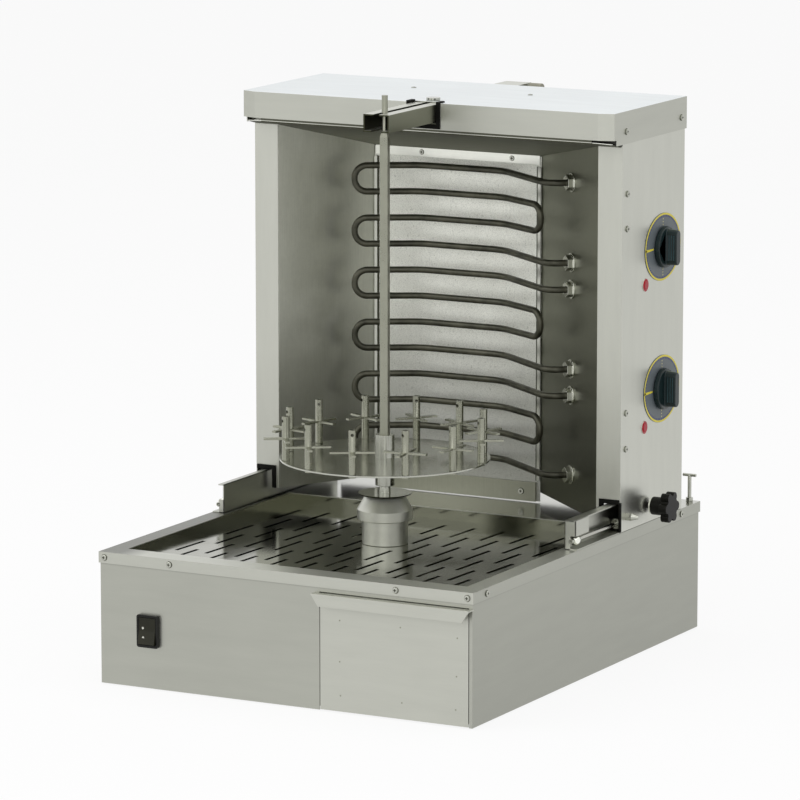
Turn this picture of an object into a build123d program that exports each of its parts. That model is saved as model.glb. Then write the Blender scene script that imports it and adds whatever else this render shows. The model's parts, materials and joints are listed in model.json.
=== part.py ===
from build123d import *
import os
from math import atan2, cos, degrees, hypot, radians, sin

os.makedirs("parts", exist_ok=True)

# Vertical kebab grill in millimetres. X points to the user's right, Y to the rear and Z up.
# The origin lies on the bench, midway between the sides and between the front and rear of the base.

# Sheet metal and clearances
sheet = 1.2
thin_sheet = 1.0
seat_gap = 0.3
running_gap = 0.05
slide_gap = 0.3

# Base case
base_width = 517.0
base_depth = 636.0
base_height = 167.4
wall_lift = 1.5
foot_height = 6.0
foot_radius = 15.0
foot_inset = 40.0
bottom_flange = 14.0

# Lid of the base
lid_lip = 14.0
lid_play = 0.4
lid_rim_side = 24.0
lid_rim_front = 31.0
lid_opening_rear = 120.0

# Slotted tray in the lid
tray_front_depth = 7.9
tray_rear_depth = 14.9
tray_flange = 3.0
slot_length = 70.0
slot_width = 5.4
slot_pitch_x = 21.2
slot_pitch_y = 124.0
slot_columns = 20
slot_rows = 3
slot_rear_row = 52.0
slot_edge_margin = 5.0

# Drain pan below the tray
pan_fall = 24.0
pan_outlet_x = 75.0
pan_drip_lip = 5.0
pan_flange = 9.0
pan_play = 2.0
pan_collar_wall = 1.2
shaft_hole_radius = 12.0

# Spit drive
spit_y = -57.0
shaft_radius = 8.0
neck_radius = 7.0
tenon_side = 9.6
tenon_length = 14.0
gearbox_side = 92.0
gearbox_height = 50.0
gearbox_drop = 101.4
gearbox_leg = 10.0
gearbox_boss_radius = 15.0
gearbox_boss = 5.0
motor_radius = 27.0
motor_length = 92.0
motor_flange_radius = 23.0
motor_flange = 4.0

# Hub on the tray floor
hub_wall = 3.0
hub_foot_radius = 29.0
hub_band_radius = 35.0
hub_top_radius = 24.5
hub_foot_top = 187.0
hub_band_top = 199.5
hub_top = 217.4
hub_bearing = 12.0
slinger_radius = 33.5
slinger_thickness = 1.4
slinger_lift = 1.4

# Spit
sleeve_radius = 12.0
sleeve_bottom = 229.6
sleeve_top = 294.0
sleeve_flange_radius = 16.0
sleeve_flange = 3.0
disc_radius = 132.0
disc_thickness = 2.0
disc_top = 265.5
bar_side = 10.0
bar_turn = 11.0
bar_bottom = 250.0
bar_top_drop = 8.0
bar_taper = 5.0
pin_radius = 3.8
pin_stand_out = 20.0

# Skewer holders on the disc
holder_count = 12
holder_circle = 126.0
holder_first_angle = 9.7
holder_radius = 4.8
holder_bore = 2.6
holder_height = 56.0
holder_bore_depth = 44.0
holder_cross_hole = 2.1
holder_cross_hole_drop = 6.0
holder_pivot_radius = 3.0
holder_head_radius = 4.6
holder_head = 1.6
star_height = 26.6
star_tip_radius = 28.0
star_arm_width = 6.0
star_thickness = 2.4
star_turns = (31, 68, 63, 52, 64, 73, 73, 33, 33, 31, 8, -2)
hole_turns = (60, 40, 75, 118, 50, 118, 65, 55, 45, 118, 70, 40)

# Drawer at the front right
drawer_side = 5.5
drawer_gearbox_gap = 5.0
drawer_top_drop = 20.4
drawer_bottom = 2.3
drawer_gap = 0.8
drawer_box_inset = 7.0
drawer_box_depth = 416.0
drawer_box_height = 104.0
runner_foot = 2.0
runner_width = 12.0
runner_height = 16.0
runner_setback = 12.0
pull_reach = 12.0
pull_drop = 15.0
pull_overhang = 7.0
pull_end_slope = 10.0

# Rocker switch at the front left
switch_inset = 69.0
switch_z = 74.0
switch_width = 30.0
switch_height = 41.0
switch_rim = 2.0
switch_stand_out = 5.0
switch_body_depth = 22.0
switch_pocket_depth = 8.0
switch_corner = 3.0
rocker_width = 23.0
rocker_half_height = 17.0
rocker_reach = 4.6
rocker_waist = 2.6
rocker_back = 4.0
rocker_tilt = 7.0
rocker_play = 0.5
rocker_pin_radius = 1.5
rocker_pin_reach = 2.4
rocker_axis_sink = 2.5

# Cable gland at the rear left
gland_x = -150.0
gland_z = 45.0
gland_thread_radius = 8.0
gland_nut_radius = 12.0
gland_nut = 6.0
gland_dome_radius = 9.5
gland_dome = 6.0
gland_bore = 4.5
gland_inner_length = 8.0

# Slide rails on the lid
rail_inset = 17.6
rail_sheet = 1.5
rail_height = 37.2
rail_top_flange = 13.0
rail_foot_edge = 1.0
rail_front = -40.0
rail_rear_inset = 56.7
rail_return = 37.0
rail_return_inset = 2.1
rail_return_lift = 17.4
rod_radius = 3.0
rod_inset = 9.1
rod_rise = 10.6
rod_end = 5.0
rod_socket_radius = 1.8
rod_socket = 3.0
rod_nut_radius = 5.4
rod_nut = 5.0
rod_nut_setback = 9.0

# Heating tower
tower_overhang = 1.5
tower_front = 78.0
tower_rear = 260.0
tower_lift = 1.3
leg_width = 33.6
leg_bottom = 181.0
cutout_inset = 25.6
cutout_top = 207.0
rear_flange = 15.0
vent_columns = 12
vent_length = 40.0
vent_width = 5.0
vent_pitch = 24.0
vent_low_rise = 53.0
vent_high_drop = 130.0

# Chamber: inner wings, reflector and ceiling
reflector_y = 212.0
reflector_left = -159.0
reflector_right = 82.6
reflector_bottom = 193.7
reflector_top_gap = 6.0
skirt_reach = 4.0
ceiling_drop = 45.0
ceiling_fall = 32.0
ceiling_flange = 16.7
ceiling_flange_inset = 2.0
wing_bottom = 181.0
wing_seam = 10.0

# Heating elements
element_radius = 4.2
element_y = 195.0
element_drop = 25.0
element_low = 224.0
element_count = 3
runs_per_element = 4
element_left = -83.0
element_right = 38.0
left_turn_x = -156.5
left_turn_y = 152.0
right_slope = 31.1
right_turn_distance = 87.0
element_bend = 55.0
entry_bend = 20.0
turn_flat = 1.0
entry_y = 139.5
entry_reach = 32.0
entry_thread_radius = 6.0
entry_nut_radius = 8.4
entry_nut = 7.0
entry_washer_radius = 10.0
entry_washer = 1.6
entry_thread_length = 10.0
entry_tail = 16.0

# Hood
hood_height = 700.0
hood_play = 0.1
hood_front = 45.2
hood_rear = 261.6
hood_front_skirt = 33.7
hood_side_skirt = 41.0
hood_facet_x = 19.7
hood_facet_y = 6.6
hood_skirt_step = 14.0
notch_depth = 13.0
notch_height = 29.0
cradle_length = 24.0
cradle_spots = (140.0, 240.0)

# Arm that holds the top of the spit
arm_half_width = 18.0
arm_height = 22.5
arm_sheet = 2.0
arm_lip_gap = 14.6
arm_front = -80.0
arm_rear = 310.0
arm_slot_rear = 250.0
arm_clamp_y = 72.0
clamp_head_radius = 8.8
clamp_head = 3.2
clamp_shank_radius = 3.0
clamp_nut_radius = 6.5
clamp_nut = 5.0
pull_knob_y = 300.0
pull_knob_radius = 8.0
pull_knob_length = 17.0
pull_knob_stem = 4.0
trim = 1.8
trim_overlap = 3.5

# Controls on the right wall
dial_y = 195.3
dial_z = (516.0, 334.5)
dial_half_length = 52.0
dial_half_height = 43.0
dial_thickness = 0.8
knob_start = 1.5
knob_base_radius = 26.5
knob_base = 6.5
knob_grip = 14.5
knob_grip_width = 14.0
knob_grip_height = 46.0
knob_shaft_radius = 3.0
regulator_side = 46.0
regulator_depth = 30.0
regulator_bush_radius = 5.0
regulator_bush = 0.4
lamp_y = 146.0
lamp_drop = 42.2
lamp_bezel_radius = 8.2
lamp_bezel = 0.8
lamp_lens_radius = 6.2
lamp_lens = 2.2
lamp_body_radius = 5.5
lamp_body_depth = 22.0

# Star knob that clamps the tower to its rail
star_knob_y = 161.0
star_knob_z = 190.0
star_knob_reach = 33.5
star_knob_thickness = 11.0
star_knob_lobes = 6
star_knob_lobe_circle = 14.3
star_knob_lobe_radius = 6.0
star_knob_core_radius = 15.0
star_knob_hub_radius = 11.5
star_knob_collar_radius = 9.5
star_knob_collar = 2.5
star_knob_start = 3.9
clamp_screw_radius = 4.0
clamp_block = 4.0
clamp_block_radius = 6.6

# Slider bushes of the tower
bush_radius = 6.6
bush_length = 22.0
bush_spots = (98.0, 205.0)
bush_web = 9.0

# Thumb screw at the rear right corner
thumb_inset = 11.5
thumb_rear_inset = 7.0
thumb_height = 36.6
thumb_stem_radius = 2.5
thumb_bar_length = 18.0
thumb_bar_radius = 2.0
thumb_collar_radius = 4.6
thumb_collar = 5.0

# Small screws
screw_radius = 3.7
screw_head = 2.0
rivet_radius = 3.0
rivet_head = 1.0
rivet_x = 83.5
rivet_rear_inset = 83.0
wall_screw_inset = 14.5
wall_screw_drops = (104.4, 148.3)
wall_screw_rises = (150.3, 104.6)
hood_screw_drop = 25.6
hood_screw_front = 7.7
hood_screw_rear = 14.7
rear_screw_inset = 21.0
rear_screw_step = 20.0
strip_screw_rise = 6.3
strip_screw_left = 69.0
strip_screw_right = 42.0
skirt_screw_inset = 25.6
lip_corner = 8.0
lip_left_step = 100.8
lip_right_step = 104.9
lip_side_front = 34.0
lip_side_rear = 56.0
stud_y = 96.0
stud_z = 187.0
stud_radius = 5.4
stud_length = 17.0

# Sizes that follow from the ones above
half_width = base_width / 2
half_depth = base_depth / 2
drawer_right = half_width - drawer_side
drawer_left = gearbox_side / 2 + drawer_gearbox_gap
drawer_top = base_height - drawer_top_drop
switch_x = -half_width + switch_inset
thumb_y = half_depth - thumb_rear_inset
rail_rear = half_depth - rail_rear_inset
gearbox_bottom = base_height - gearbox_drop
lid_x = half_width + lid_play + sheet
lid_y = half_depth + lid_play + sheet
lid_under = base_height - sheet
opening_x = lid_x - lid_rim_side
opening_front = -lid_y + lid_rim_front
opening_rear = lid_opening_rear
tray_slope = (tray_rear_depth - tray_front_depth) / (opening_rear - opening_front)
tower_x = lid_x + tower_overhang
tower_inner_x = tower_x - sheet
tower_bottom = base_height + tower_lift
hood_x = tower_x + hood_play + sheet
hood_under = hood_height - sheet
arm_top = hood_under - slide_gap
arm_bottom = arm_top - arm_height
arm_slot_width = 2 * (pin_radius + slide_gap)
bar_top = arm_bottom - bar_top_drop
pin_top = hood_height + pin_stand_out
wall_top = hood_under - seat_gap
ceiling_front = hood_height - ceiling_drop
ceiling_rear = ceiling_front - ceiling_fall
reflector_top = ceiling_rear - reflector_top_gap
element_top = ceiling_rear - element_drop
run_count = element_count * runs_per_element
element_pitch = (element_top - element_low) / (run_count - 1)
rail_x = lid_x - rail_inset
rail_top = base_height + rail_height
rod_x = lid_x - rod_inset
rod_z = base_height + rod_rise
cutout_x = tower_x - cutout_inset
leg_inner_x = tower_x - leg_width
leg_back = tower_front + sheet
flank_rear = tower_rear - sheet
notch_half = arm_half_width + slide_gap + trim
slinger_bottom = hub_top + slinger_lift
knob_base_x = tower_x + knob_start
thumb_x = lid_x - thumb_inset
holder_angles = [holder_first_angle + 360 / holder_count * i for i in range(holder_count)]

# Planes that carry sketches of the front and rear walls
front_plane = Plane(origin=(0, -half_depth, 0), x_dir=(1, 0, 0), z_dir=(0, -1, 0))
rear_plane = Plane(origin=(0, half_depth, 0), x_dir=(-1, 0, 0), z_dir=(0, 1, 0))


def facing(y):
    """Plane seen from the front: local x to the right, local y up, normal to the front."""
    return Plane(origin=(0, y, 0), x_dir=(1, 0, 0), z_dir=(0, -1, 0))


def sideways(x):
    """Plane seen from the right: local x to the rear, local y up, normal to the right."""
    return Plane(origin=(x, 0, 0), x_dir=(0, 1, 0), z_dir=(1, 0, 0))


def level(z):
    """Horizontal plane at a height, normal up."""
    return Plane.XY.offset(z)


def tray_floor(y):
    """Height of the sloped tray floor's upper face."""
    return base_height - tray_front_depth - tray_slope * (y - opening_front)


def ceiling(y):
    """Height of the sloped ceiling's lower face."""
    return ceiling_front + (ceiling_rear - ceiling_front) * (y - tower_front) / (reflector_y - tower_front)


def box(x0, x1, y0, y1, z0, z1, mode=Mode.ADD):
    """Block between three pairs of limits, added to the piece being built."""
    with BuildSketch(level(z0)) as outline:
        with Locations(((x0 + x1) / 2, (y0 + y1) / 2)):
            Rectangle(x1 - x0, y1 - y0)
    extrude(outline.sketch, amount=z1 - z0, mode=mode)


def round_bar(plane, spots, radius, length, mode=Mode.ADD):
    """Round bars of one size that start on a plane, added to the piece being built."""
    with BuildSketch(plane) as ends:
        with Locations(*spots):
            Circle(radius)
    extrude(ends.sketch, amount=length, mode=mode)


def profile(plane, points, length, mode=Mode.ADD):
    """Straight prism over a closed outline, added to the piece being built."""
    with BuildSketch(plane) as outline:
        with BuildLine():
            Polyline(*points, close=True)
        make_face()
    extrude(outline.sketch, amount=length, mode=mode)


def save(builder, name):
    """Label a finished piece and write it."""
    builder.part.label = name
    export_step(builder.part, f"parts/{name}.step")


# Base case: four walls with the drawer opening, the switch cut-out and the cable hole
with BuildPart() as base_shell:
    with BuildSketch(level(wall_lift)):
        Rectangle(base_width, base_depth)
        Rectangle(base_width - 2 * sheet, base_depth - 2 * sheet, mode=Mode.SUBTRACT)
    extrude(amount=lid_under - wall_lift)
    with BuildSketch(front_plane):
        with Locations(((drawer_left + drawer_right) / 2, (wall_lift + drawer_top) / 2)):
            Rectangle(drawer_right - drawer_left + 2 * drawer_gap, drawer_top - wall_lift + 2 * drawer_gap)
        with Locations((switch_x, switch_z)):
            Rectangle(switch_width - 2 * switch_rim, switch_height - 2 * switch_rim)
    extrude(amount=-2 * sheet, mode=Mode.SUBTRACT)
    round_bar(rear_plane, [(-gland_x, gland_z)], gland_thread_radius, -2 * sheet, Mode.SUBTRACT)
save(base_shell, "base_shell")

# Bottom plate with upturned flanges on three sides and the welded runners of the drawer
bottom_x = half_width - sheet - seat_gap
bottom_y = half_depth - sheet - seat_gap
plate_top = foot_height + sheet
flange_top = foot_height + bottom_flange
box_left = drawer_left + drawer_box_inset
box_right = drawer_right - drawer_box_inset
box_front = -half_depth + sheet
box_rear = box_front + drawer_box_depth
runner_left = box_left - slide_gap
runner_right = box_right + slide_gap
runner_front = -half_depth + runner_setback
with BuildPart() as base_bottom:
    box(-bottom_x, bottom_x, -bottom_y, bottom_y, foot_height, plate_top)
    box(-bottom_x, -bottom_x + sheet, -bottom_y, bottom_y, foot_height, flange_top)
    box(bottom_x - sheet, bottom_x, -bottom_y, bottom_y, foot_height, flange_top)
    box(-bottom_x, bottom_x, bottom_y - sheet, bottom_y, foot_height, flange_top)
    box(runner_left - sheet, runner_left, runner_front, box_rear, foot_height, plate_top + runner_height)
    box(runner_right, runner_right + sheet, runner_front, box_rear, foot_height, plate_top + runner_height)
    box(runner_left, runner_left + runner_width, runner_front, box_rear, foot_height, plate_top + runner_foot)
    box(
        runner_right - runner_width, runner_right, runner_front, box_rear,
        foot_height, plate_top + runner_foot,
    )
save(base_bottom, "base_bottom")

# Tapered rubber feet under the bottom plate
foot_x = half_width - foot_inset
foot_y = half_depth - foot_inset
with BuildPart() as rubber_feet:
    with BuildSketch(level(foot_height)):
        with GridLocations(2 * foot_x, 2 * foot_y, 2, 2):
            Circle(foot_radius)
    extrude(amount=-foot_height, taper=18)
save(rubber_feet, "rubber_feet")

# Lid: flat rim round the tray opening, lip folded down outside the case
with BuildPart() as base_lid:
    box(-lid_x, lid_x, -lid_y, lid_y, base_height - lid_lip, base_height)
    box(
        -lid_x + sheet, lid_x - sheet, -lid_y + sheet, lid_y - sheet,
        base_height - lid_lip, lid_under, Mode.SUBTRACT,
    )
    box(-opening_x, opening_x, opening_front, opening_rear, lid_under, base_height, Mode.SUBTRACT)
    round_bar(level(lid_under), [(thumb_x, thumb_y)], thumb_stem_radius + running_gap, sheet, Mode.SUBTRACT)
save(base_lid, "base_lid")


def slot_spots():
    """Centres of the tray slots: staggered columns, clear of the front edge and of the hub."""
    spots = []
    for column in range(slot_columns):
        x = (column - (slot_columns - 1) / 2) * slot_pitch_x
        for row in range(slot_rows):
            y = slot_rear_row - slot_pitch_y * (row + 0.5 * (column % 2))
            y = max(y, opening_front + slot_edge_margin + slot_length / 2)
            reach_x = max(abs(x) - slot_width / 2, 0)
            reach_y = max(abs(y - spit_y) - slot_length / 2, 0)
            if hypot(reach_x, reach_y) > hub_foot_radius:
                spots.append((x, y))
    return spots


# Frame of the tray: four walls below the lid, with a flange under its rim
front_floor = tray_floor(opening_front)
rear_floor = tray_floor(opening_rear)
tray_edge_x = opening_x + sheet + tray_flange
with BuildPart() as tray_frame:
    profile(
        sideways(-opening_x - sheet),
        [
            (opening_front - sheet, front_floor - sheet),
            (opening_rear + sheet, rear_floor - sheet),
            (opening_rear + sheet, lid_under),
            (opening_front - sheet, lid_under),
        ],
        2 * (opening_x + sheet),
    )
    box(
        -tray_edge_x, tray_edge_x, opening_front - sheet - tray_flange, opening_rear + sheet + tray_flange,
        lid_under - thin_sheet, lid_under,
    )
    profile(
        sideways(-opening_x),
        [
            (opening_front, front_floor),
            (opening_rear, rear_floor),
            (opening_rear, lid_under),
            (opening_front, lid_under),
        ],
        2 * opening_x,
        Mode.SUBTRACT,
    )
    profile(
        sideways(-opening_x),
        [
            (opening_front, front_floor),
            (opening_rear, rear_floor),
            (opening_rear, rear_floor - 2 * sheet),
            (opening_front, front_floor - 2 * sheet),
        ],
        2 * opening_x,
        Mode.SUBTRACT,
    )
save(tray_frame, "tray_frame")

# Slotted floor of the tray, falling to the rear between the walls of its frame
with BuildPart() as slotted_tray:
    profile(
        sideways(-opening_x),
        [
            (opening_front, front_floor),
            (opening_rear, rear_floor),
            (opening_rear, rear_floor - sheet),
            (opening_front, front_floor - sheet),
        ],
        2 * opening_x,
    )
    with BuildSketch(level(lid_under)):
        with Locations(*slot_spots()):
            Rectangle(slot_width, slot_length)
        with Locations((0, spit_y)):
            Circle(shaft_hole_radius)
    extrude(amount=-2 * tray_rear_depth, mode=Mode.SUBTRACT)
save(slotted_tray, "slotted_tray")

# Drain pan: falls to the right and ends above the drawer, with a collar round the shaft
pan_left = -tray_edge_x - pan_play
pan_front = opening_front - sheet - tray_flange - pan_play
pan_rear = opening_rear + sheet + tray_flange + pan_play
pan_high = rear_floor - sheet - pan_play


def pan_floor(x):
    """Height of the drain pan's upper face."""
    return pan_high - pan_fall * (x - pan_left) / (pan_outlet_x - pan_left)


outlet_floor = pan_floor(pan_outlet_x)
with BuildPart() as drain_pan:
    profile(
        facing(pan_rear + sheet),
        [
            (pan_left - sheet, pan_high - sheet),
            (pan_outlet_x, outlet_floor - sheet),
            (pan_outlet_x, lid_under),
            (pan_left - sheet, lid_under),
        ],
        pan_rear - pan_front + 2 * sheet,
    )
    box(
        pan_left - sheet - pan_flange, pan_outlet_x,
        pan_front - sheet - pan_flange, pan_rear + sheet + pan_flange,
        lid_under - thin_sheet, lid_under,
    )
    profile(
        facing(pan_rear),
        [
            (pan_left, pan_high),
            (pan_outlet_x, outlet_floor),
            (pan_outlet_x, lid_under),
            (pan_left, lid_under),
        ],
        pan_rear - pan_front,
        Mode.SUBTRACT,
    )
    box(
        pan_outlet_x - sheet, pan_outlet_x, pan_front, pan_rear,
        outlet_floor - sheet - pan_drip_lip, outlet_floor,
    )
    collar_low = pan_floor(shaft_hole_radius)
    collar_radius = shaft_hole_radius + pan_collar_wall
    round_bar(level(collar_low - sheet), [(0, spit_y)], collar_radius, pan_high - collar_low)
    round_bar(level(lid_under), [(0, spit_y)], shaft_hole_radius, -3 * pan_fall, Mode.SUBTRACT)
save(drain_pan, "drain_pan")

# Hub: hollow turned bell that stands on the tray floor and carries the upper bearing
bore_radius = shaft_radius + running_gap
with BuildPart() as hub_bell:
    with BuildSketch(Plane.XZ.offset(-spit_y)):
        with BuildLine():
            Polyline(
                (hub_foot_radius - hub_wall, rear_floor),
                (hub_foot_radius, rear_floor),
                (hub_foot_radius, hub_foot_top),
                (hub_band_radius, hub_foot_top),
                (hub_band_radius, hub_band_top),
                (hub_top_radius, hub_top),
                (bore_radius, hub_top),
                (bore_radius, hub_top - hub_bearing),
                (hub_foot_radius - hub_wall, hub_foot_top + hub_wall),
                close=True,
            )
        make_face()
    revolve(axis=Axis((0, spit_y, 0), (0, 0, 1)))
    profile(
        sideways(-hub_band_radius),
        [
            (opening_front, front_floor),
            (opening_rear, rear_floor),
            (opening_rear, rear_floor - tray_rear_depth),
            (opening_front, rear_floor - tray_rear_depth),
        ],
        2 * hub_band_radius,
        Mode.SUBTRACT,
    )
save(hub_bell, "hub_bell")

# Gearmotor: gearbox on four legs with the lower bearing of the shaft, motor on its left side
leg_pitch = gearbox_side - gearbox_leg
motor_spot = [(spit_y, gearbox_bottom + gearbox_height / 2)]
motor_face = -gearbox_side / 2 - motor_flange
with BuildPart() as gearmotor:
    with BuildSketch(level(gearbox_bottom)):
        with Locations((0, spit_y)):
            RectangleRounded(gearbox_side, gearbox_side, 6)
    extrude(amount=gearbox_height)
    with BuildSketch(level(plate_top)):
        with Locations((0, spit_y)):
            with GridLocations(leg_pitch - 6, leg_pitch - 6, 2, 2):
                Rectangle(gearbox_leg, gearbox_leg)
    extrude(amount=gearbox_bottom - plate_top)
    round_bar(level(gearbox_bottom + gearbox_height), [(0, spit_y)], gearbox_boss_radius, gearbox_boss)
    bore_length = gearbox_height + gearbox_boss
    round_bar(level(gearbox_bottom), [(0, spit_y)], bore_radius, bore_length, Mode.SUBTRACT)
    round_bar(sideways(-gearbox_side / 2), motor_spot, motor_flange_radius, -motor_flange)
    round_bar(sideways(motor_face), motor_spot, motor_radius, -motor_length)
    round_bar(sideways(motor_face - motor_length), motor_spot, motor_radius / 3, -motor_flange)
save(gearmotor, "gearmotor")

# Drive shaft: thick journal, neck above the slinger disc, square tenon in the sleeve
with BuildPart() as drive_shaft:
    round_bar(level(gearbox_bottom), [(0, spit_y)], shaft_radius, slinger_bottom - gearbox_bottom)
    round_bar(level(slinger_bottom), [(0, spit_y)], neck_radius, sleeve_bottom - slinger_bottom)
    half_tenon = tenon_side / 2
    box(
        -half_tenon, half_tenon, spit_y - half_tenon, spit_y + half_tenon,
        sleeve_bottom, sleeve_bottom + tenon_length,
    )
save(drive_shaft, "drive_shaft")

# Thin slinger disc that keeps fat off the bearing
with BuildPart() as slinger_disc:
    with BuildSketch(level(slinger_bottom)):
        with Locations((0, spit_y)):
            Circle(slinger_radius)
            Circle(neck_radius, mode=Mode.SUBTRACT)
    extrude(amount=slinger_thickness)
save(slinger_disc, "slinger_disc")

# Sleeve: square sockets for the tenon below and the bar above, flange under the disc
disc_bottom = disc_top - disc_thickness
with BuildPart() as spit_sleeve:
    round_bar(level(sleeve_bottom), [(0, spit_y)], sleeve_radius, sleeve_top - sleeve_bottom)
    round_bar(level(disc_bottom - sleeve_flange), [(0, spit_y)], sleeve_flange_radius, sleeve_flange)
    box(
        -half_tenon, half_tenon, spit_y - half_tenon, spit_y + half_tenon,
        sleeve_bottom, sleeve_bottom + tenon_length, Mode.SUBTRACT,
    )
    with BuildSketch(level(bar_bottom)):
        with Locations((0, spit_y)):
            Rectangle(bar_side, bar_side, rotation=bar_turn)
    extrude(amount=sleeve_top - bar_bottom, mode=Mode.SUBTRACT)
save(spit_sleeve, "spit_sleeve")

# Disc with a hole for each skewer holder
with BuildPart() as spit_disc:
    with BuildSketch(level(disc_bottom)):
        with Locations((0, spit_y)):
            Circle(disc_radius)
            Circle(sleeve_radius, mode=Mode.SUBTRACT)
            with PolarLocations(holder_circle, holder_count, start_angle=holder_first_angle):
                Circle(holder_pivot_radius + running_gap, mode=Mode.SUBTRACT)
    extrude(amount=disc_thickness)
save(spit_disc, "spit_disc")

# Square bar that tapers to the round pin in the arm
with BuildPart() as spit_bar:
    with BuildSketch(level(bar_bottom)):
        with Locations((0, spit_y)):
            Rectangle(bar_side, bar_side, rotation=bar_turn)
    extrude(amount=bar_top - bar_bottom)
    with BuildSketch(level(bar_top)):
        with Locations((0, spit_y)):
            Rectangle(bar_side, bar_side, rotation=bar_turn)
    extrude(amount=bar_taper, taper=degrees(atan2(bar_side / 2 - pin_radius, bar_taper)))
    round_bar(level(bar_top + bar_taper), [(0, spit_y)], pin_radius, pin_top - bar_top - bar_taper)
save(spit_bar, "spit_bar")

# Twelve skewer holders: tube with a cross hole, four-armed star, pivot riveted under the disc
for number, angle in enumerate(holder_angles, start=1):
    spot = [(holder_circle * cos(radians(angle)), spit_y + holder_circle * sin(radians(angle)))]
    star_turn = star_turns[(number - 1) % len(star_turns)]
    hole_turn = radians(hole_turns[(number - 1) % len(hole_turns)])
    cross_plane = Plane(
        origin=(*spot[0], disc_top + holder_height - holder_cross_hole_drop),
        x_dir=(0, 0, 1),
        z_dir=(cos(hole_turn), sin(hole_turn), 0),
    )
    with BuildPart() as skewer_holder:
        round_bar(level(disc_top + slide_gap), spot, holder_radius, holder_height - slide_gap)
        round_bar(level(disc_bottom - slide_gap), spot, holder_pivot_radius, disc_thickness + 2 * slide_gap)
        round_bar(level(disc_bottom - slide_gap), spot, holder_head_radius, -holder_head)
        with BuildSketch(level(disc_top + star_height)):
            with Locations(*spot):
                Rectangle(2 * star_tip_radius, star_arm_width, rotation=star_turn)
                Rectangle(star_arm_width, 2 * star_tip_radius, rotation=star_turn)
        extrude(amount=star_thickness)
        round_bar(level(disc_top + holder_height), spot, holder_bore, -holder_bore_depth, Mode.SUBTRACT)
        with BuildSketch(cross_plane):
            Circle(holder_cross_hole)
        extrude(amount=holder_radius + 1, both=True, mode=Mode.SUBTRACT)
    save(skewer_holder, f"skewer_holder_{number:02d}")

# Drawer box: open on top, slides on the feet of the runners
drawer_floor = plate_top + runner_foot + slide_gap
drawer_rim = drawer_floor + drawer_box_height
with BuildPart() as drawer_pan:
    box(box_left, box_right, box_front, box_rear, drawer_floor, drawer_rim)
    box(
        box_left + sheet, box_right - sheet, box_front + sheet, box_rear - sheet,
        drawer_floor + sheet, drawer_rim, Mode.SUBTRACT,
    )
save(drawer_pan, "drawer_pan")

# Drawer front with the pull folded out along its top
pull_front = -half_depth - pull_reach
pull_left = drawer_left - pull_overhang
pull_right = drawer_right + pull_overhang
with BuildPart() as drawer_front:
    box(drawer_left, drawer_right, -half_depth, box_front, drawer_bottom, drawer_top)
    box(drawer_left, drawer_right, pull_front, -half_depth, drawer_top - sheet, drawer_top)
    box(pull_left, pull_right, pull_front, -half_depth - seat_gap, drawer_top - sheet, drawer_top)
    profile(
        facing(pull_front + sheet),
        [
            (pull_left, drawer_top),
            (pull_right, drawer_top),
            (pull_right - pull_end_slope, drawer_top - pull_drop),
            (pull_left + pull_end_slope, drawer_top - pull_drop),
        ],
        sheet,
    )
save(drawer_front, "drawer_front")

# Switch frame with its body behind the wall and the pocket of the rocker
rocker_y = -half_depth - switch_stand_out + rocker_axis_sink
window_half_width = rocker_width / 2 + rocker_play
window_half_height = rocker_half_height + rocker_play
with BuildPart() as switch_frame:
    with BuildSketch(front_plane):
        with Locations((switch_x, switch_z)):
            RectangleRounded(switch_width, switch_height, switch_corner)
    extrude(amount=switch_stand_out)
    with BuildSketch(front_plane):
        with Locations((switch_x, switch_z)):
            Rectangle(switch_width - 2 * switch_rim, switch_height - 2 * switch_rim)
    extrude(amount=-switch_body_depth)
    with BuildSketch(facing(-half_depth - switch_stand_out)):
        with Locations((switch_x, switch_z)):
            Rectangle(2 * window_half_width, 2 * window_half_height)
    extrude(amount=-switch_stand_out - switch_pocket_depth, mode=Mode.SUBTRACT)
    with BuildSketch(sideways(switch_x)):
        with Locations((rocker_y, switch_z)):
            Circle(rocker_pin_radius + running_gap)
    extrude(amount=window_half_width + rocker_pin_reach, both=True, mode=Mode.SUBTRACT)
save(switch_frame, "switch_frame")

# Rocker: round ends about its pin and a waisted face, tilted to one of its two positions
with BuildPart() as switch_rocker:
    with BuildSketch(sideways(switch_x)):
        with Locations(Location((rocker_y, switch_z, 0), (0, 0, -rocker_tilt))):
            Circle(rocker_half_height)
            Polygon(
                (-rocker_reach, rocker_half_height),
                (-rocker_waist, 0),
                (-rocker_reach, -rocker_half_height),
                (rocker_back, -rocker_half_height),
                (rocker_back, rocker_half_height),
                align=None,
                mode=Mode.INTERSECT,
            )
    extrude(amount=rocker_width / 2, both=True)
    with BuildSketch(sideways(switch_x)):
        with Locations((rocker_y, switch_z)):
            Circle(rocker_pin_radius)
    extrude(amount=rocker_width / 2 + rocker_pin_reach, both=True)
save(switch_rocker, "switch_rocker")

# Cable gland in the rear wall
gland_spot = [(-gland_x, gland_z)]
with BuildPart() as cable_gland:
    with BuildSketch(rear_plane, rear_plane.offset(-sheet - gland_nut)):
        with Locations(*gland_spot):
            RegularPolygon(gland_nut_radius, 6)
    extrude(amount=gland_nut)
    with BuildSketch(rear_plane.offset(gland_nut)):
        with Locations(*gland_spot):
            Circle(gland_dome_radius)
    extrude(amount=gland_dome, taper=20)
    round_bar(rear_plane, gland_spot, gland_thread_radius, -gland_inner_length)
    gland_end = rear_plane.offset(gland_nut + gland_dome)
    round_bar(gland_end, gland_spot, gland_bore, -2 * gland_nut - gland_dome - sheet, Mode.SUBTRACT)
save(cable_gland, "cable_gland")


def pair(side, a, b):
    """Two limits along X for the right side, mirrored for the left."""
    return (a, b) if side > 0 else (-b, -a)


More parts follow.
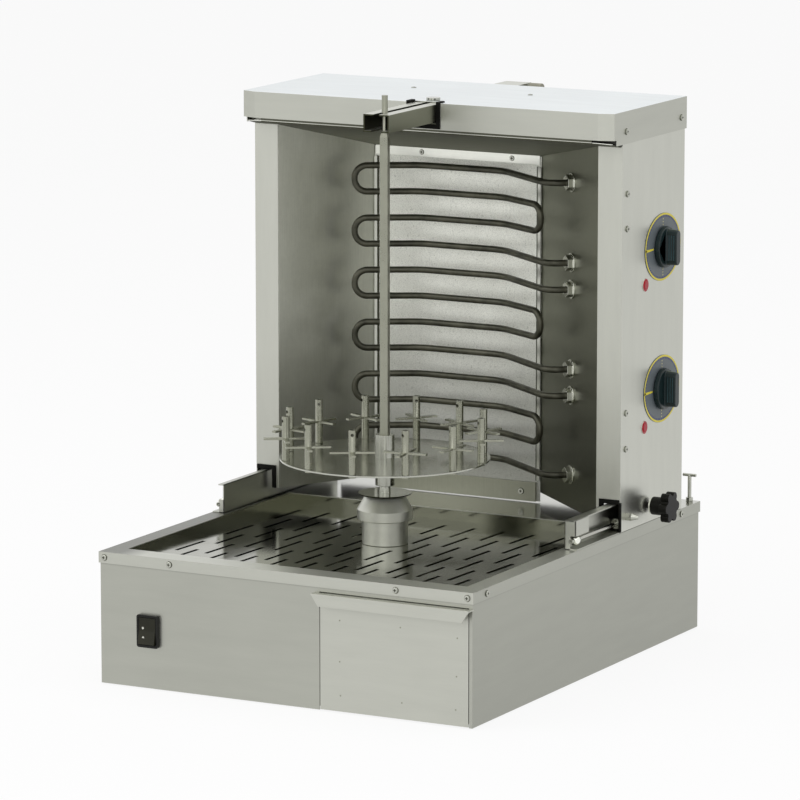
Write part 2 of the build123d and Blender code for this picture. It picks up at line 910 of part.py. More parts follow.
def rail(side):
    """Folded rail on one side: foot, web, top flange, front plate with its side return, rear plate."""
    foot = pair(side, rail_x, tower_inner_x - rail_foot_edge)
    outer_x = lid_x - rail_return_inset
    box(*foot, rail_front, rail_rear, base_height, base_height + rail_sheet)
    box(*pair(side, rail_x, rail_x + rail_sheet), rail_front, rail_rear, base_height, rail_top)
    box(*pair(side, rail_x, rail_x + rail_top_flange), rail_front, rail_rear, rail_top - rail_sheet, rail_top)
    box(*pair(side, rail_x, outer_x), rail_front, rail_front + rail_sheet, base_height, rail_top)
    box(
        *pair(side, outer_x - rail_sheet, outer_x), rail_front, rail_front + rail_return,
        base_height + rail_return_lift, rail_top,
    )
    box(*foot, rail_rear - rail_sheet, rail_rear, base_height, rail_top)
    rod_spot = [(side * rod_x, rod_z)]
    round_bar(facing(rail_front), rod_spot, rod_radius, rail_front - rail_rear, Mode.SUBTRACT)


with BuildPart() as rail_left:
    rail(-1)
save(rail_left, "rail_left")

with BuildPart() as rail_right:
    rail(1)
save(rail_right, "rail_right")

# Guide rods held by the end plates of the rails, with a socket in front and a domed nut behind the plate
rod_spots = [(-rod_x, rod_z), (rod_x, rod_z)]
nut_face = rail_front + rail_sheet + rod_nut_setback
with BuildPart() as guide_rods:
    round_bar(facing(rail_front), rod_spots, rod_radius, rail_front - rail_rear - rod_end)
    round_bar(facing(nut_face + rod_nut), rod_spots, rod_nut_radius, rod_nut)
    with BuildSketch(facing(nut_face)):
        with Locations(*rod_spots):
            Circle(rod_nut_radius)
    extrude(amount=rod_nut_radius / 2, taper=35)
    round_bar(facing(rail_front), rod_spots, rod_socket_radius, -rod_socket, Mode.SUBTRACT)
save(guide_rods, "guide_rods")

# Screws round the lip of the lid
lip_screw_z = base_height - lid_lip / 2
lip_x = (-lid_x + lip_corner, -lid_x + lip_left_step, lid_x - lip_right_step, lid_x - lip_corner)
lip_front = [(x, lip_screw_z) for x in lip_x]
lip_side = [(y, lip_screw_z) for y in (-half_depth + lip_side_front, half_depth - lip_side_rear)]
with BuildPart() as base_screws:
    round_bar(facing(-lid_y), lip_front, screw_radius, screw_head)
    round_bar(facing(lid_y), lip_front, screw_radius, -screw_head)
    round_bar(sideways(lid_x), lip_side, screw_radius, screw_head)
    round_bar(sideways(-lid_x), lip_side, screw_radius, -screw_head)
save(base_screws, "base_screws")

# Thumb screw through the rear right corner of the lid
thumb_top = base_height + thumb_height
with BuildPart() as rear_thumb_screw:
    thumb_foot = lid_under - thumb_collar
    round_bar(level(thumb_foot), [(thumb_x, thumb_y)], thumb_stem_radius, thumb_top - thumb_foot - 1)
    round_bar(level(base_height + slide_gap), [(thumb_x, thumb_y)], thumb_collar_radius, thumb_collar)
    with BuildSketch(sideways(thumb_x)):
        with Locations((thumb_y, thumb_top - thumb_bar_radius)):
            Circle(thumb_bar_radius)
    extrude(amount=thumb_bar_length / 2, both=True)
save(rear_thumb_screw, "rear_thumb_screw")


def tower_wall(side):
    """Folded side wall: flank, front leg with the cut-out for the rail, flange for the rear cover."""
    box(*pair(side, tower_inner_x, tower_x), tower_front, flank_rear, tower_bottom, wall_top)
    box(*pair(side, leg_inner_x, tower_x), tower_front, leg_back, leg_bottom, wall_top)
    cutout = pair(side, cutout_x, tower_inner_x)
    box(*cutout, tower_front, leg_back, leg_bottom, cutout_top, Mode.SUBTRACT)
    flange = pair(side, tower_inner_x - rear_flange, tower_x)
    box(*flange, flank_rear - sheet, flank_rear, cutout_top, wall_top)


with BuildPart() as tower_left_wall:
    tower_wall(-1)
save(tower_left_wall, "tower_left_wall")

# Right wall of the tower, with holes for the regulators, the lamps and the clamp screw
bush_holes = [(dial_y, z) for z in dial_z]
lamp_spots = [(lamp_y, z - lamp_drop) for z in dial_z]
star_spot = [(star_knob_y, star_knob_z)]
screw_hole_radius = clamp_screw_radius + running_gap
with BuildPart() as tower_right_wall:
    tower_wall(1)
    round_bar(sideways(tower_x), bush_holes, regulator_bush_radius, -2 * sheet, Mode.SUBTRACT)
    round_bar(sideways(tower_x), lamp_spots, lamp_body_radius, -2 * sheet, Mode.SUBTRACT)
    round_bar(sideways(tower_x), star_spot, screw_hole_radius, -2 * sheet, Mode.SUBTRACT)
save(tower_right_wall, "tower_right_wall")

# Rear cover with two rows of vents, a hole for the arm and corners cut out for the rails
cover_x = tower_inner_x - seat_gap
arm_hole_low = arm_bottom - 2 * slide_gap
with BuildPart() as tower_rear_cover:
    with BuildSketch(facing(tower_rear)):
        with Locations((0, (cutout_top + wall_top) / 2)):
            Rectangle(2 * cover_x, wall_top - cutout_top)
        with Locations((0, (leg_bottom + cutout_top) / 2)):
            Rectangle(2 * cutout_x, cutout_top - leg_bottom)
        for row in (cutout_top + vent_low_rise, hood_height - vent_high_drop):
            with Locations((0, row)):
                with GridLocations(vent_pitch, vent_length, vent_columns, 1):
                    Rectangle(vent_width, vent_length, mode=Mode.SUBTRACT)
        with Locations((0, (arm_hole_low + wall_top) / 2)):
            Rectangle(2 * notch_half, wall_top - arm_hole_low, mode=Mode.SUBTRACT)
    extrude(amount=sheet)
save(tower_rear_cover, "tower_rear_cover")


def wing(side, rear_x):
    """Slanted inner wall from the back of a leg to the reflector, cut off under the ceiling."""
    front_x = side * leg_inner_x
    run = hypot(front_x - rear_x, reflector_y - leg_back)
    out_x = side * (reflector_y - leg_back) / run * thin_sheet
    out_y = abs(front_x - rear_x) / run * thin_sheet
    tall = ceiling_front - wing_bottom
    profile(
        level(wing_bottom),
        [
            (front_x, leg_back),
            (rear_x, reflector_y),
            (rear_x + out_x, reflector_y + out_y),
            (front_x + out_x, leg_back + out_y),
        ],
        tall,
    )
    box(
        *pair(side, leg_inner_x, leg_inner_x + wing_seam), leg_back, leg_back + thin_sheet,
        cutout_top + 2 * trim_overlap, ceiling_rear,
    )
    profile(
        sideways(-tower_x),
        [
            (tower_front, ceiling(tower_front)),
            (tower_rear, ceiling(tower_rear)),
            (tower_rear, hood_height),
            (tower_front, hood_height),
        ],
        2 * tower_x,
        Mode.SUBTRACT,
    )


with BuildPart() as wing_left:
    wing(-1, reflector_left)
save(wing_left, "wing_left")

# Entries of the heating elements through the right wing, at the first and last run of each element
wing_run = hypot(leg_inner_x - reflector_right, reflector_y - leg_back)
wing_dir = ((reflector_right - leg_inner_x) / wing_run, (reflector_y - leg_back) / wing_run)
entry_out = (wing_dir[1], -wing_dir[0])
entry_x = leg_inner_x + wing_dir[0] * (entry_y - leg_back) / wing_dir[1]
run_heights = [element_top - element_pitch * i for i in range(run_count)]
entry_heights = [z for i, z in enumerate(run_heights) if i % runs_per_element in (0, runs_per_element - 1)]


def entry_plane(z, back=0.0):
    """Plane on the right wing at an entry, normal into the chamber, moved back behind the wing."""
    return Plane(
        origin=(entry_x + back * entry_out[0], entry_y + back * entry_out[1], z),
        x_dir=(0, 0, 1),
        z_dir=(-entry_out[0], -entry_out[1], 0),
    )


with BuildPart() as wing_right:
    wing(1, reflector_right)
    for height in entry_heights:
        round_bar(entry_plane(height, 3), [(0, 0)], entry_thread_radius, 6, Mode.SUBTRACT)
save(wing_right, "wing_right")

# Reflector: rear sheet with a skirt along its bottom
with BuildPart() as reflector:
    box(
        reflector_left, reflector_right, reflector_y, reflector_y + thin_sheet,
        tower_bottom, reflector_top,
    )
    box(
        reflector_left + 3, reflector_right - 5, reflector_y - skirt_reach, reflector_y,
        tower_bottom, reflector_bottom,
    )
save(reflector, "reflector")

# Sloped ceiling: wide behind the front of the hood, then between the wings, flange down on the reflector
ceiling_edge = hood_front + sheet + seat_gap
with BuildPart() as ceiling_panel:
    profile(
        sideways(-tower_inner_x),
        [
            (ceiling_edge, ceiling(ceiling_edge)),
            (reflector_y, ceiling(reflector_y)),
            (reflector_y, ceiling(reflector_y) + thin_sheet),
            (ceiling_edge, ceiling(ceiling_edge) + thin_sheet),
        ],
        2 * tower_inner_x,
    )
    profile(
        level(ceiling_rear - 5),
        [
            (-tower_inner_x + hood_facet_x, ceiling_edge),
            (tower_inner_x - hood_facet_x, ceiling_edge),
            (tower_inner_x - 1, ceiling_edge + hood_facet_y),
            (tower_inner_x - 1, tower_front),
            (leg_inner_x, tower_front),
            (leg_inner_x, leg_back),
            (reflector_right, reflector_y),
            (reflector_left, reflector_y),
            (-leg_inner_x, leg_back),
            (-leg_inner_x, tower_front),
            (-tower_inner_x + 1, tower_front),
            (-tower_inner_x + 1, ceiling_edge + hood_facet_y),
        ],
        ceiling(ceiling_edge) + 2 * thin_sheet - ceiling_rear + 5,
        Mode.INTERSECT,
    )
    box(
        reflector_left + ceiling_flange_inset, reflector_right - ceiling_flange_inset,
        reflector_y - thin_sheet, reflector_y,
        ceiling_rear - ceiling_flange, ceiling(reflector_y - thin_sheet) + thin_sheet / 2,
    )
save(ceiling_panel, "ceiling_panel")


def hood_outline(inset):
    """Plan of the hood with facets at the front corners, moved inwards."""
    x, front, rear = hood_x - inset, hood_front + inset, hood_rear - inset
    return [
        (-x, front + hood_facet_y), (-x + hood_facet_x, front), (x - hood_facet_x, front),
        (x, front + hood_facet_y), (x, rear), (-x, rear),
    ]


# Hood: top sheet with skirts all round, notch for the arm, cradles that carry the arm inside
side_skirt_low = hood_height - hood_side_skirt
front_skirt_low = hood_height - hood_front_skirt
notch_low = hood_height - notch_height
clamp_spot = [(0, arm_clamp_y)]
with BuildPart() as hood:
    profile(level(side_skirt_low), hood_outline(0), hood_side_skirt)
    profile(level(side_skirt_low), hood_outline(sheet), hood_side_skirt - sheet, Mode.SUBTRACT)
    box(
        -hood_x, hood_x, hood_front, hood_front + hood_skirt_step,
        side_skirt_low, front_skirt_low, Mode.SUBTRACT,
    )
    box(
        -notch_half, notch_half, hood_front, hood_front + notch_depth,
        notch_low, hood_height, Mode.SUBTRACT,
    )
    box(
        -notch_half, notch_half, hood_rear - 2 * sheet, hood_rear,
        arm_hole_low, hood_under, Mode.SUBTRACT,
    )
    for spot in cradle_spots:
        inner = arm_half_width + slide_gap
        cradle_low = arm_bottom - slide_gap - sheet
        front, rear = spot - cradle_length / 2, spot - cradle_length / 2 + cradle_length
        rear = min(rear, flank_rear - sheet)
        box(-inner - sheet, inner + sheet, front, rear, cradle_low, hood_under)
        box(-inner, inner, front, rear, cradle_low + sheet, hood_under, Mode.SUBTRACT)
    round_bar(level(hood_height), clamp_spot, clamp_shank_radius + running_gap, -2 * sheet, Mode.SUBTRACT)
save(hood, "hood")

# Black edge trims: round the notch of the hood and round the rail cut-outs of the legs
with BuildPart() as edge_trims:
    for side in (-1, 1):
        grip = pair(side, notch_half - trim, notch_half + trim_overlap)
        web = pair(side, notch_half, notch_half + trim_overlap)
        face = hood_front - trim
        back = hood_front + sheet + trim
        rear = hood_front + notch_depth
        box(*grip, face, back, notch_low - trim_overlap, hood_height - sheet - trim)
        box(*grip, face, rear, hood_height - sheet - trim, hood_height + trim)
        box(*web, hood_front, hood_front + sheet, notch_low - trim_overlap, hood_height, Mode.SUBTRACT)
        box(*web, hood_front, rear, hood_under, hood_height, Mode.SUBTRACT)
        sill = pair(side, 0, notch_half)
        box(*sill, face, back, notch_low - trim_overlap, notch_low + trim)
        box(*sill, hood_front, hood_front + sheet, notch_low - trim_overlap, notch_low, Mode.SUBTRACT)
        leg_grip = pair(side, cutout_x - trim_overlap, cutout_x + trim)
        leg_web = pair(side, cutout_x - trim_overlap, cutout_x)
        face, back = tower_front - trim, leg_back + trim
        box(*leg_grip, face, back, leg_bottom, cutout_top + trim_overlap)
        box(
            *pair(side, cutout_x - trim_overlap, tower_inner_x - slide_gap), face, back,
            cutout_top - trim, cutout_top + trim_overlap,
        )
        box(*leg_web, tower_front, leg_back, leg_bottom, cutout_top, Mode.SUBTRACT)
        box(
            *pair(side, cutout_x - trim_overlap, tower_x), tower_front, leg_back,
            cutout_top, cutout_top + trim_overlap, Mode.SUBTRACT,
        )
        seam = pair(side, leg_inner_x, leg_inner_x + wing_seam)
        box(
            *seam, leg_back, leg_back + thin_sheet,
            cutout_top + 2 * trim_overlap, ceiling_rear, Mode.SUBTRACT,
        )
save(edge_trims, "edge_trims")

# Serpentine heating elements: four runs each, bowed behind the spit, bent down at both ends
turn_x = element_right + right_turn_distance * cos(radians(right_slope))
turn_y = element_y - right_turn_distance * sin(radians(right_slope))
entry_bend_x = entry_x - entry_reach * entry_out[0]
entry_bend_y = entry_y - entry_reach * entry_out[1]
turn_radius = (element_pitch - turn_flat) / 2


def element_path(first_run):
    """Corner points and corner radii of one element, from its upper entry to its lower entry."""
    tail = (entry_x + entry_tail * entry_out[0], entry_y + entry_tail * entry_out[1])
    points, corner_radii = [], []

    def corner(x, y, z, radius):
        points.append((x, y, z))
        corner_radii.append(radius)

    for run in range(runs_per_element):
        z = run_heights[first_run + run]
        to_left = run % 2 == 0
        if run == 0:
            corner(*tail, z, 0)
            corner(entry_bend_x, entry_bend_y, z, entry_bend)
        elif to_left:
            corner(turn_x, turn_y, z, turn_radius)
        else:
            corner(left_turn_x, left_turn_y, z, turn_radius)
        bends = [(element_right, element_y), (element_left, element_y)]
        for x, y in bends if to_left else reversed(bends):
            corner(x, y, z, element_bend)
        if run == runs_per_element - 1:
            corner(entry_bend_x, entry_bend_y, z, entry_bend)
            corner(*tail, z, 0)
        elif to_left:
            corner(left_turn_x, left_turn_y, z, turn_radius)
        else:
            corner(turn_x, turn_y, z, turn_radius)
    return points, corner_radii[1:-1]


for number in range(element_count):
    corners, corner_radii = element_path(number * runs_per_element)
    with BuildPart() as heating_element:
        with BuildLine() as path:
            FilletPolyline(*corners, radius=corner_radii)
        with BuildSketch(Plane(origin=path.wire() @ 0, z_dir=path.wire() % 0)):
            Circle(element_radius)
        sweep()
    save(heating_element, f"heating_element_{number + 1}")

# Entry fittings of the elements: washer, hexagonal nut and threaded end behind the wing
with BuildPart() as element_nuts:
    for height in entry_heights:
        round_bar(entry_plane(height), [(0, 0)], entry_washer_radius, entry_washer)
        with BuildSketch(entry_plane(height).offset(entry_washer)):
            RegularPolygon(entry_nut_radius, 6)
        extrude(amount=entry_nut)
        back = entry_thread_length + thin_sheet
        round_bar(entry_plane(height, back), [(0, 0)], entry_thread_radius, back)
        with BuildSketch(entry_plane(height, thin_sheet + entry_nut / 2)):
            RegularPolygon(entry_nut_radius, 6)
        extrude(amount=entry_nut / 2)
        length = back + entry_washer + entry_nut
        round_bar(entry_plane(height, back), [(0, 0)], element_radius, length, Mode.SUBTRACT)
save(element_nuts, "element_nuts")

# Energy regulators behind the right wall, each with a threaded bush through wall and dial
bush_end = dial_thickness + regulator_bush
with BuildPart() as regulators:
    for z in dial_z:
        box(
            tower_inner_x - regulator_depth, tower_inner_x,
            dial_y - regulator_side / 2, dial_y + regulator_side / 2,
            z - regulator_side / 2, z + regulator_side / 2,
        )
    round_bar(sideways(tower_inner_x), bush_holes, regulator_bush_radius, sheet + bush_end)
    shaft_hole = knob_shaft_radius + running_gap
    hole_depth = sheet + bush_end + regulator_depth / 2
    round_bar(sideways(tower_x + bush_end), bush_holes, shaft_hole, -hole_depth, Mode.SUBTRACT)
save(regulators, "regulators")

# Dial plates on the right wall
with BuildPart() as dial_plates:
    with BuildSketch(sideways(tower_x)):
        with Locations(*bush_holes):
            Ellipse(dial_half_length, dial_half_height)
            Circle(regulator_bush_radius, mode=Mode.SUBTRACT)
    extrude(amount=dial_thickness)
save(dial_plates, "dial_plates")

# Pilot lamps: bezel, domed lens and body behind the wall
with BuildPart() as pilot_lamps:
    round_bar(sideways(tower_x), lamp_spots, lamp_bezel_radius, lamp_bezel)
    with BuildSketch(sideways(tower_x + lamp_bezel)):
        with Locations(*lamp_spots):
            Circle(lamp_lens_radius)
    extrude(amount=lamp_lens - lamp_bezel, taper=30)
    round_bar(sideways(tower_x), lamp_spots, lamp_body_radius, -lamp_body_depth)
save(pilot_lamps, "pilot_lamps")

# Control knobs: round base, bar grip across it and a shaft into the regulator
shaft_end = tower_inner_x - regulator_depth / 2 + slide_gap + sheet
for name, z in zip(("regulator_knob_upper", "regulator_knob_lower"), dial_z):
    with BuildPart() as regulator_knob:
        with BuildSketch(sideways(knob_base_x)):
            with Locations((dial_y, z)):
                Circle(knob_base_radius)
        extrude(amount=knob_base, taper=6)
        with BuildSketch(sideways(knob_base_x + knob_base)):
            with Locations((dial_y, z)):
                SlotOverall(knob_grip_height, knob_grip_width, rotation=90)
        extrude(amount=knob_grip, taper=3)
        with BuildSketch(sideways(knob_base_x)):
            with Locations((dial_y, z)):
                Circle(knob_shaft_radius)
        extrude(amount=shaft_end - knob_base_x)
    save(regulator_knob, name)

# Star knob with its collar and the screw that presses on the rail
star_outer_x = tower_x + star_knob_reach
star_inner_x = star_outer_x - star_knob_thickness
collar_x = tower_x + star_knob_start
with BuildPart() as clamp_star_knob:
    with BuildSketch(sideways(star_inner_x)):
        with Locations(*star_spot):
            Circle(star_knob_core_radius)
            with PolarLocations(star_knob_lobe_circle, star_knob_lobes):
                Circle(star_knob_lobe_radius)
    extrude(amount=star_knob_thickness)
    hub_start = collar_x + star_knob_collar
    round_bar(sideways(collar_x), star_spot, star_knob_collar_radius, star_knob_collar)
    round_bar(sideways(hub_start), star_spot, star_knob_hub_radius, star_inner_x - hub_start)
    screw_tip = rail_x + rail_sheet + slide_gap
    round_bar(sideways(collar_x), star_spot, clamp_screw_radius, screw_tip - collar_x)
save(clamp_star_knob, "clamp_star_knob")

# Slider bushes on the guide rods and the threaded block of the clamp screw
bush_sides = ((-1, bush_spots), (1, bush_spots))
with BuildPart() as slider_bushes:
    for side, spots in bush_sides:
        for spot in spots:
            front, rear = spot - bush_length / 2, spot + bush_length / 2
            round_bar(facing(front), [(side * rod_x, rod_z)], bush_radius, front - rear)
            box(
                *pair(side, rod_x, tower_inner_x), front, rear,
                rod_z - bush_web / 2, rod_z + bush_web / 2,
            )
            bore = rod_radius + running_gap
            round_bar(facing(front), [(side * rod_x, rod_z)], bore, front - rear, Mode.SUBTRACT)
    with BuildSketch(sideways(tower_inner_x)):
        with Locations(*star_spot):
            RegularPolygon(clamp_block_radius, 6)
            Circle(screw_hole_radius, mode=Mode.SUBTRACT)
    extrude(amount=-clamp_block)
save(slider_bushes, "slider_bushes")

# Screws and rivets of the tower, and the cap nut beside the right rail
screw_y = tower_front + wall_screw_inset
screw_heights = [hood_height - drop for drop in wall_screw_drops]
screw_heights += [tower_bottom + rise for rise in wall_screw_rises]
wall_screws = [(screw_y, z) for z in screw_heights]
hood_screw_y = (tower_front + hood_screw_front, tower_rear - hood_screw_rear)
hood_screws = [(y, hood_height - hood_screw_drop) for y in hood_screw_y]
rear_low, rear_high = cutout_top + rear_screw_inset, side_skirt_low - rear_screw_inset
rear_screw_heights = (rear_low, (rear_low + rear_high) / 2, rear_high)
with BuildPart() as tower_screws:
    for side in (-1, 1):
        length = side * screw_head
        round_bar(sideways(side * tower_x), wall_screws, screw_radius, length)
        round_bar(sideways(side * hood_x), hood_screws, screw_radius, length)
    rear_x = leg_inner_x + rear_screw_step
    rear_screws = [(x, z) for x in (-rear_x, rear_x) for z in rear_screw_heights]
    round_bar(facing(tower_rear), rear_screws, screw_radius, -screw_head)
    strip_z = ceiling_rear - ceiling_flange + strip_screw_rise
    strip_x = (reflector_left + strip_screw_left, reflector_right - strip_screw_right)
    strip_spots = [(x, strip_z) for x in strip_x]
    round_bar(facing(reflector_y - thin_sheet), strip_spots, rivet_radius, rivet_head)
    skirt_spots = [(reflector_right - skirt_screw_inset, (tower_bottom + reflector_bottom) / 2)]
    round_bar(facing(reflector_y - skirt_reach), skirt_spots, screw_radius, screw_head)
    rivet_spots = [(-rivet_x, tower_rear - rivet_rear_inset), (rivet_x, tower_rear - rivet_rear_inset)]
    round_bar(level(hood_height), rivet_spots, rivet_radius, rivet_head)
    with BuildSketch(sideways(tower_x)):
        with Locations((stud_y, stud_z)):
            RegularPolygon(stud_radius, 6)
    extrude(amount=stud_length / 2)
    with BuildSketch(sideways(tower_x + stud_length / 2)):
        with Locations((stud_y, stud_z)):
            Circle(stud_radius - 0.9)
    extrude(amount=stud_length / 2, taper=15)
save(tower_screws, "tower_screws")

# Arm: lipped channel with a slot in its web for the pin of the spit and for the clamp screw
with BuildPart() as spit_arm:
    box(-arm_half_width, arm_half_width, arm_front, arm_rear, arm_bottom, arm_top)
    inner = arm_half_width - arm_sheet
    box(-inner, inner, arm_front, arm_rear, arm_bottom + arm_sheet, arm_top - arm_sheet, Mode.SUBTRACT)
    half_gap = arm_lip_gap / 2
    box(-half_gap, half_gap, arm_front, arm_rear, arm_bottom, arm_bottom + arm_sheet, Mode.SUBTRACT)
    half_slot = arm_slot_width / 2
    box(-half_slot, half_slot, arm_front, arm_slot_rear, arm_top - arm_sheet, arm_top, Mode.SUBTRACT)
save(spit_arm, "spit_arm")

# Pull knob on the right side of the arm's rear end
pull_spot = [(pull_knob_y, (arm_top + arm_bottom) / 2 + 4)]
with BuildPart() as arm_pull_knob:
    round_bar(sideways(arm_half_width), pull_spot, pull_knob_radius / 2, pull_knob_stem)
    with BuildSketch(sideways(arm_half_width + pull_knob_stem)):
        with Locations(*pull_spot):
            Circle(pull_knob_radius)
    extrude(amount=pull_knob_length)
save(arm_pull_knob, "arm_pull_knob")

# Clamp screw: disc head on the hood, shank through the arm's slot, nut inside the arm
nut_top = arm_top - arm_sheet - slide_gap
with BuildPart() as arm_clamp_screw:
    round_bar(level(hood_height + seat_gap), clamp_spot, clamp_head_radius, clamp_head)
    round_bar(level(hood_height + seat_gap), clamp_spot, clamp_shank_radius, nut_top - hood_height - seat_gap)
    with BuildSketch(level(nut_top)):
        with Locations(*clamp_spot):
            RegularPolygon(clamp_nut_radius, 6)
    extrude(amount=-clamp_nut)
save(arm_clamp_screw, "arm_clamp_screw")
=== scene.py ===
"""Looks of the vertical kebab grill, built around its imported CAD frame. Metres, +Z up."""

import json
import math

import bmesh
import bpy
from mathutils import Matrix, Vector
from mathutils.bvhtree import BVHTree

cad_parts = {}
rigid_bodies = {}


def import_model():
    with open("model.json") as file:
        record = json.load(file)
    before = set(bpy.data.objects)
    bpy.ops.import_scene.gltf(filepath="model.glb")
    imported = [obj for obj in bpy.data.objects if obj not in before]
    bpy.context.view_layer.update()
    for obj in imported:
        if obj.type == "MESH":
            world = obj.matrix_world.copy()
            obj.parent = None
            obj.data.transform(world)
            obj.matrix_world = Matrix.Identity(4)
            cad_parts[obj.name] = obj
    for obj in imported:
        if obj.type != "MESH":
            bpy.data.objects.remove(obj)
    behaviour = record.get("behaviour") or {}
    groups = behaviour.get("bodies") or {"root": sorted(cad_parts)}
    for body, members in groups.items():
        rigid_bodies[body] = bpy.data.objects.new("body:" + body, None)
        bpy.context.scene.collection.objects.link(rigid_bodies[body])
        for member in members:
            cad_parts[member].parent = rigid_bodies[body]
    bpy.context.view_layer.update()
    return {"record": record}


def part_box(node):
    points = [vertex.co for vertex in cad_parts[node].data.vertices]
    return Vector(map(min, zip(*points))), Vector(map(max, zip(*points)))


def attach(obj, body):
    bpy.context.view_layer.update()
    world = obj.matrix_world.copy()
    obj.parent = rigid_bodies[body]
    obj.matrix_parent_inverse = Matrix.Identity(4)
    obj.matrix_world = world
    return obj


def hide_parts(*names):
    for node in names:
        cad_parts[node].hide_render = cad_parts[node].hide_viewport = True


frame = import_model()

MM = 0.001
BODIES = frame["record"]["behaviour"]["bodies"]
BODY_OF = {node: body for body, nodes in BODIES.items() for node in nodes}

# Camera where the photograph's perspective puts it
CAMERA_PLACE = (3.1250, -5.8746, 1.5209)
CAMERA_TURN = 28.08
CAMERA_DIP = 10.16
CAMERA_LENS = 241.9
CAMERA_SENSOR = 36
CAMERA_REACH = 60
lens = bpy.data.cameras.new("camera")
lens.lens = CAMERA_LENS
lens.sensor_width = CAMERA_SENSOR
lens.clip_end = CAMERA_REACH
camera = bpy.data.objects.new("camera", lens)
camera.location = CAMERA_PLACE
camera.rotation_euler = (math.radians(90 - CAMERA_DIP), 0, math.radians(CAMERA_TURN))
bpy.context.scene.collection.objects.link(camera)
bpy.context.scene.camera = camera


class Wire:
    """An output socket that takes part in sums: each operator adds its Math node."""

    def __init__(self, paint, socket):
        self.paint = paint
        self.socket = socket

    def sum_of(self, operation, left, right):
        return self.paint.node("Math", {"operation": operation}, {0: left, 1: right})

    def __add__(self, other):
        return self.sum_of("ADD", self, other)

    def __radd__(self, other):
        return self.sum_of("ADD", other, self)

    def __sub__(self, other):
        return self.sum_of("SUBTRACT", self, other)

    def __rsub__(self, other):
        return self.sum_of("SUBTRACT", other, self)

    def __mul__(self, other):
        return self.sum_of("MULTIPLY", self, other)

    def __rmul__(self, other):
        return self.sum_of("MULTIPLY", other, self)


class Paint:
    """A material or a world being mixed from nodes."""

    def __init__(self, name, owner=None):
        self.material = owner or bpy.data.materials.new(name)
        self.material.use_nodes = True
        self.tree = self.material.node_tree
        self.tree.nodes.clear()

    def node(self, kind, settings=None, inputs=None, output=0):
        """One node: its settings first, then the values or wires of its sockets."""
        made = self.tree.nodes.new("ShaderNode" + kind)
        for key, value in (settings or {}).items():
            setattr(made, key, value)
        for key, value in (inputs or {}).items():
            if isinstance(value, Wire):
                self.tree.links.new(value.socket, made.inputs[key])
            else:
                made.inputs[key].default_value = value
        return Wire(self, made.outputs[output]) if len(made.outputs) else None

    def place(self, stretch=(1, 1, 1)):
        """Coordinates in the object's own metres, stretched along its axes."""
        spot = self.node("TexCoord", output="Object")
        return self.node("VectorMath", {"operation": "MULTIPLY"}, {0: spot, 1: stretch})

    def along(self, axis):
        """How far a point lies along one axis, in metres."""
        return self.node("SeparateXYZ", {}, {0: self.place()}, output=axis)

    def noise(self, scale, stretch=(1, 1, 1), detail=3.0, roughness=0.55):
        """Smooth noise from 0 to 1."""
        values = {"Vector": self.place(stretch), "Scale": scale, "Detail": detail, "Roughness": roughness}
        return self.node("TexNoise", {}, values)

    def fade(self, value, low, high, start=0.0, end=1.0):
        """A value mapped from one range to another, held at the ends."""
        inputs = {"Value": value, "From Min": low, "From Max": high, "To Min": start, "To Max": end}
        return self.node("MapRange", {"clamp": True}, inputs)

    def blend(self, amount, first, second):
        """Two colours mixed by an amount."""
        inputs = {0: amount, 6: first, 7: second}
        return self.node("Mix", {"data_type": "RGBA"}, inputs, output=2)

    def scaled(self, color, factor):
        """A colour made lighter or darker by a value."""
        grey = self.node("CombineColor", {}, {0: factor, 1: factor, 2: factor})
        settings = {"data_type": "RGBA", "blend_type": "MULTIPLY"}
        return self.node("Mix", settings, {0: 1.0, 6: color, 7: grey}, output=2)

    def relief(self, height, distance, strength=1.0):
        """A normal from a height."""
        return self.node("Bump", {}, {"Height": height, "Distance": distance, "Strength": strength})

    def coat(self, **sockets):
        """The surface: a principled shader on the material's output."""
        names = {key.replace("_", " ").title().replace("Ior", "IOR"): value for key, value in sockets.items()}
        shader = self.node("BsdfPrincipled", {}, names)
        self.node("OutputMaterial", {}, {"Surface": shader})
        return self.material


def from_screen(red, green, blue):
    """A colour read as screen values from 0 to 255, as linear values."""
    def linear(level):
        level /= 255
        return level / 12.92 if level <= 0.04045 else ((level + 0.055) / 1.055) ** 2.4

    return (linear(red), linear(green), linear(blue), 1.0)


PALE_STEEL = 160
LESS_BLUE_PALE, LESS_BLUE_DARK = 8, 13


def steel_tone(level):
    """The warm grey of stainless sheet at one screen brightness: the darker, the more olive."""
    return from_screen(level, level + 1, level - (LESS_BLUE_PALE if level > PALE_STEEL else LESS_BLUE_DARK))


def tinted(color, factor):
    """The same colour, lighter or darker."""
    return (*(channel * factor for channel in color[:3]), 1.0)


# How brushed grain is stretched along each axis
GRAIN = {"X": (1.2, 60, 60), "Y": (60, 1.2, 60), "Z": (60, 60, 1.2)}


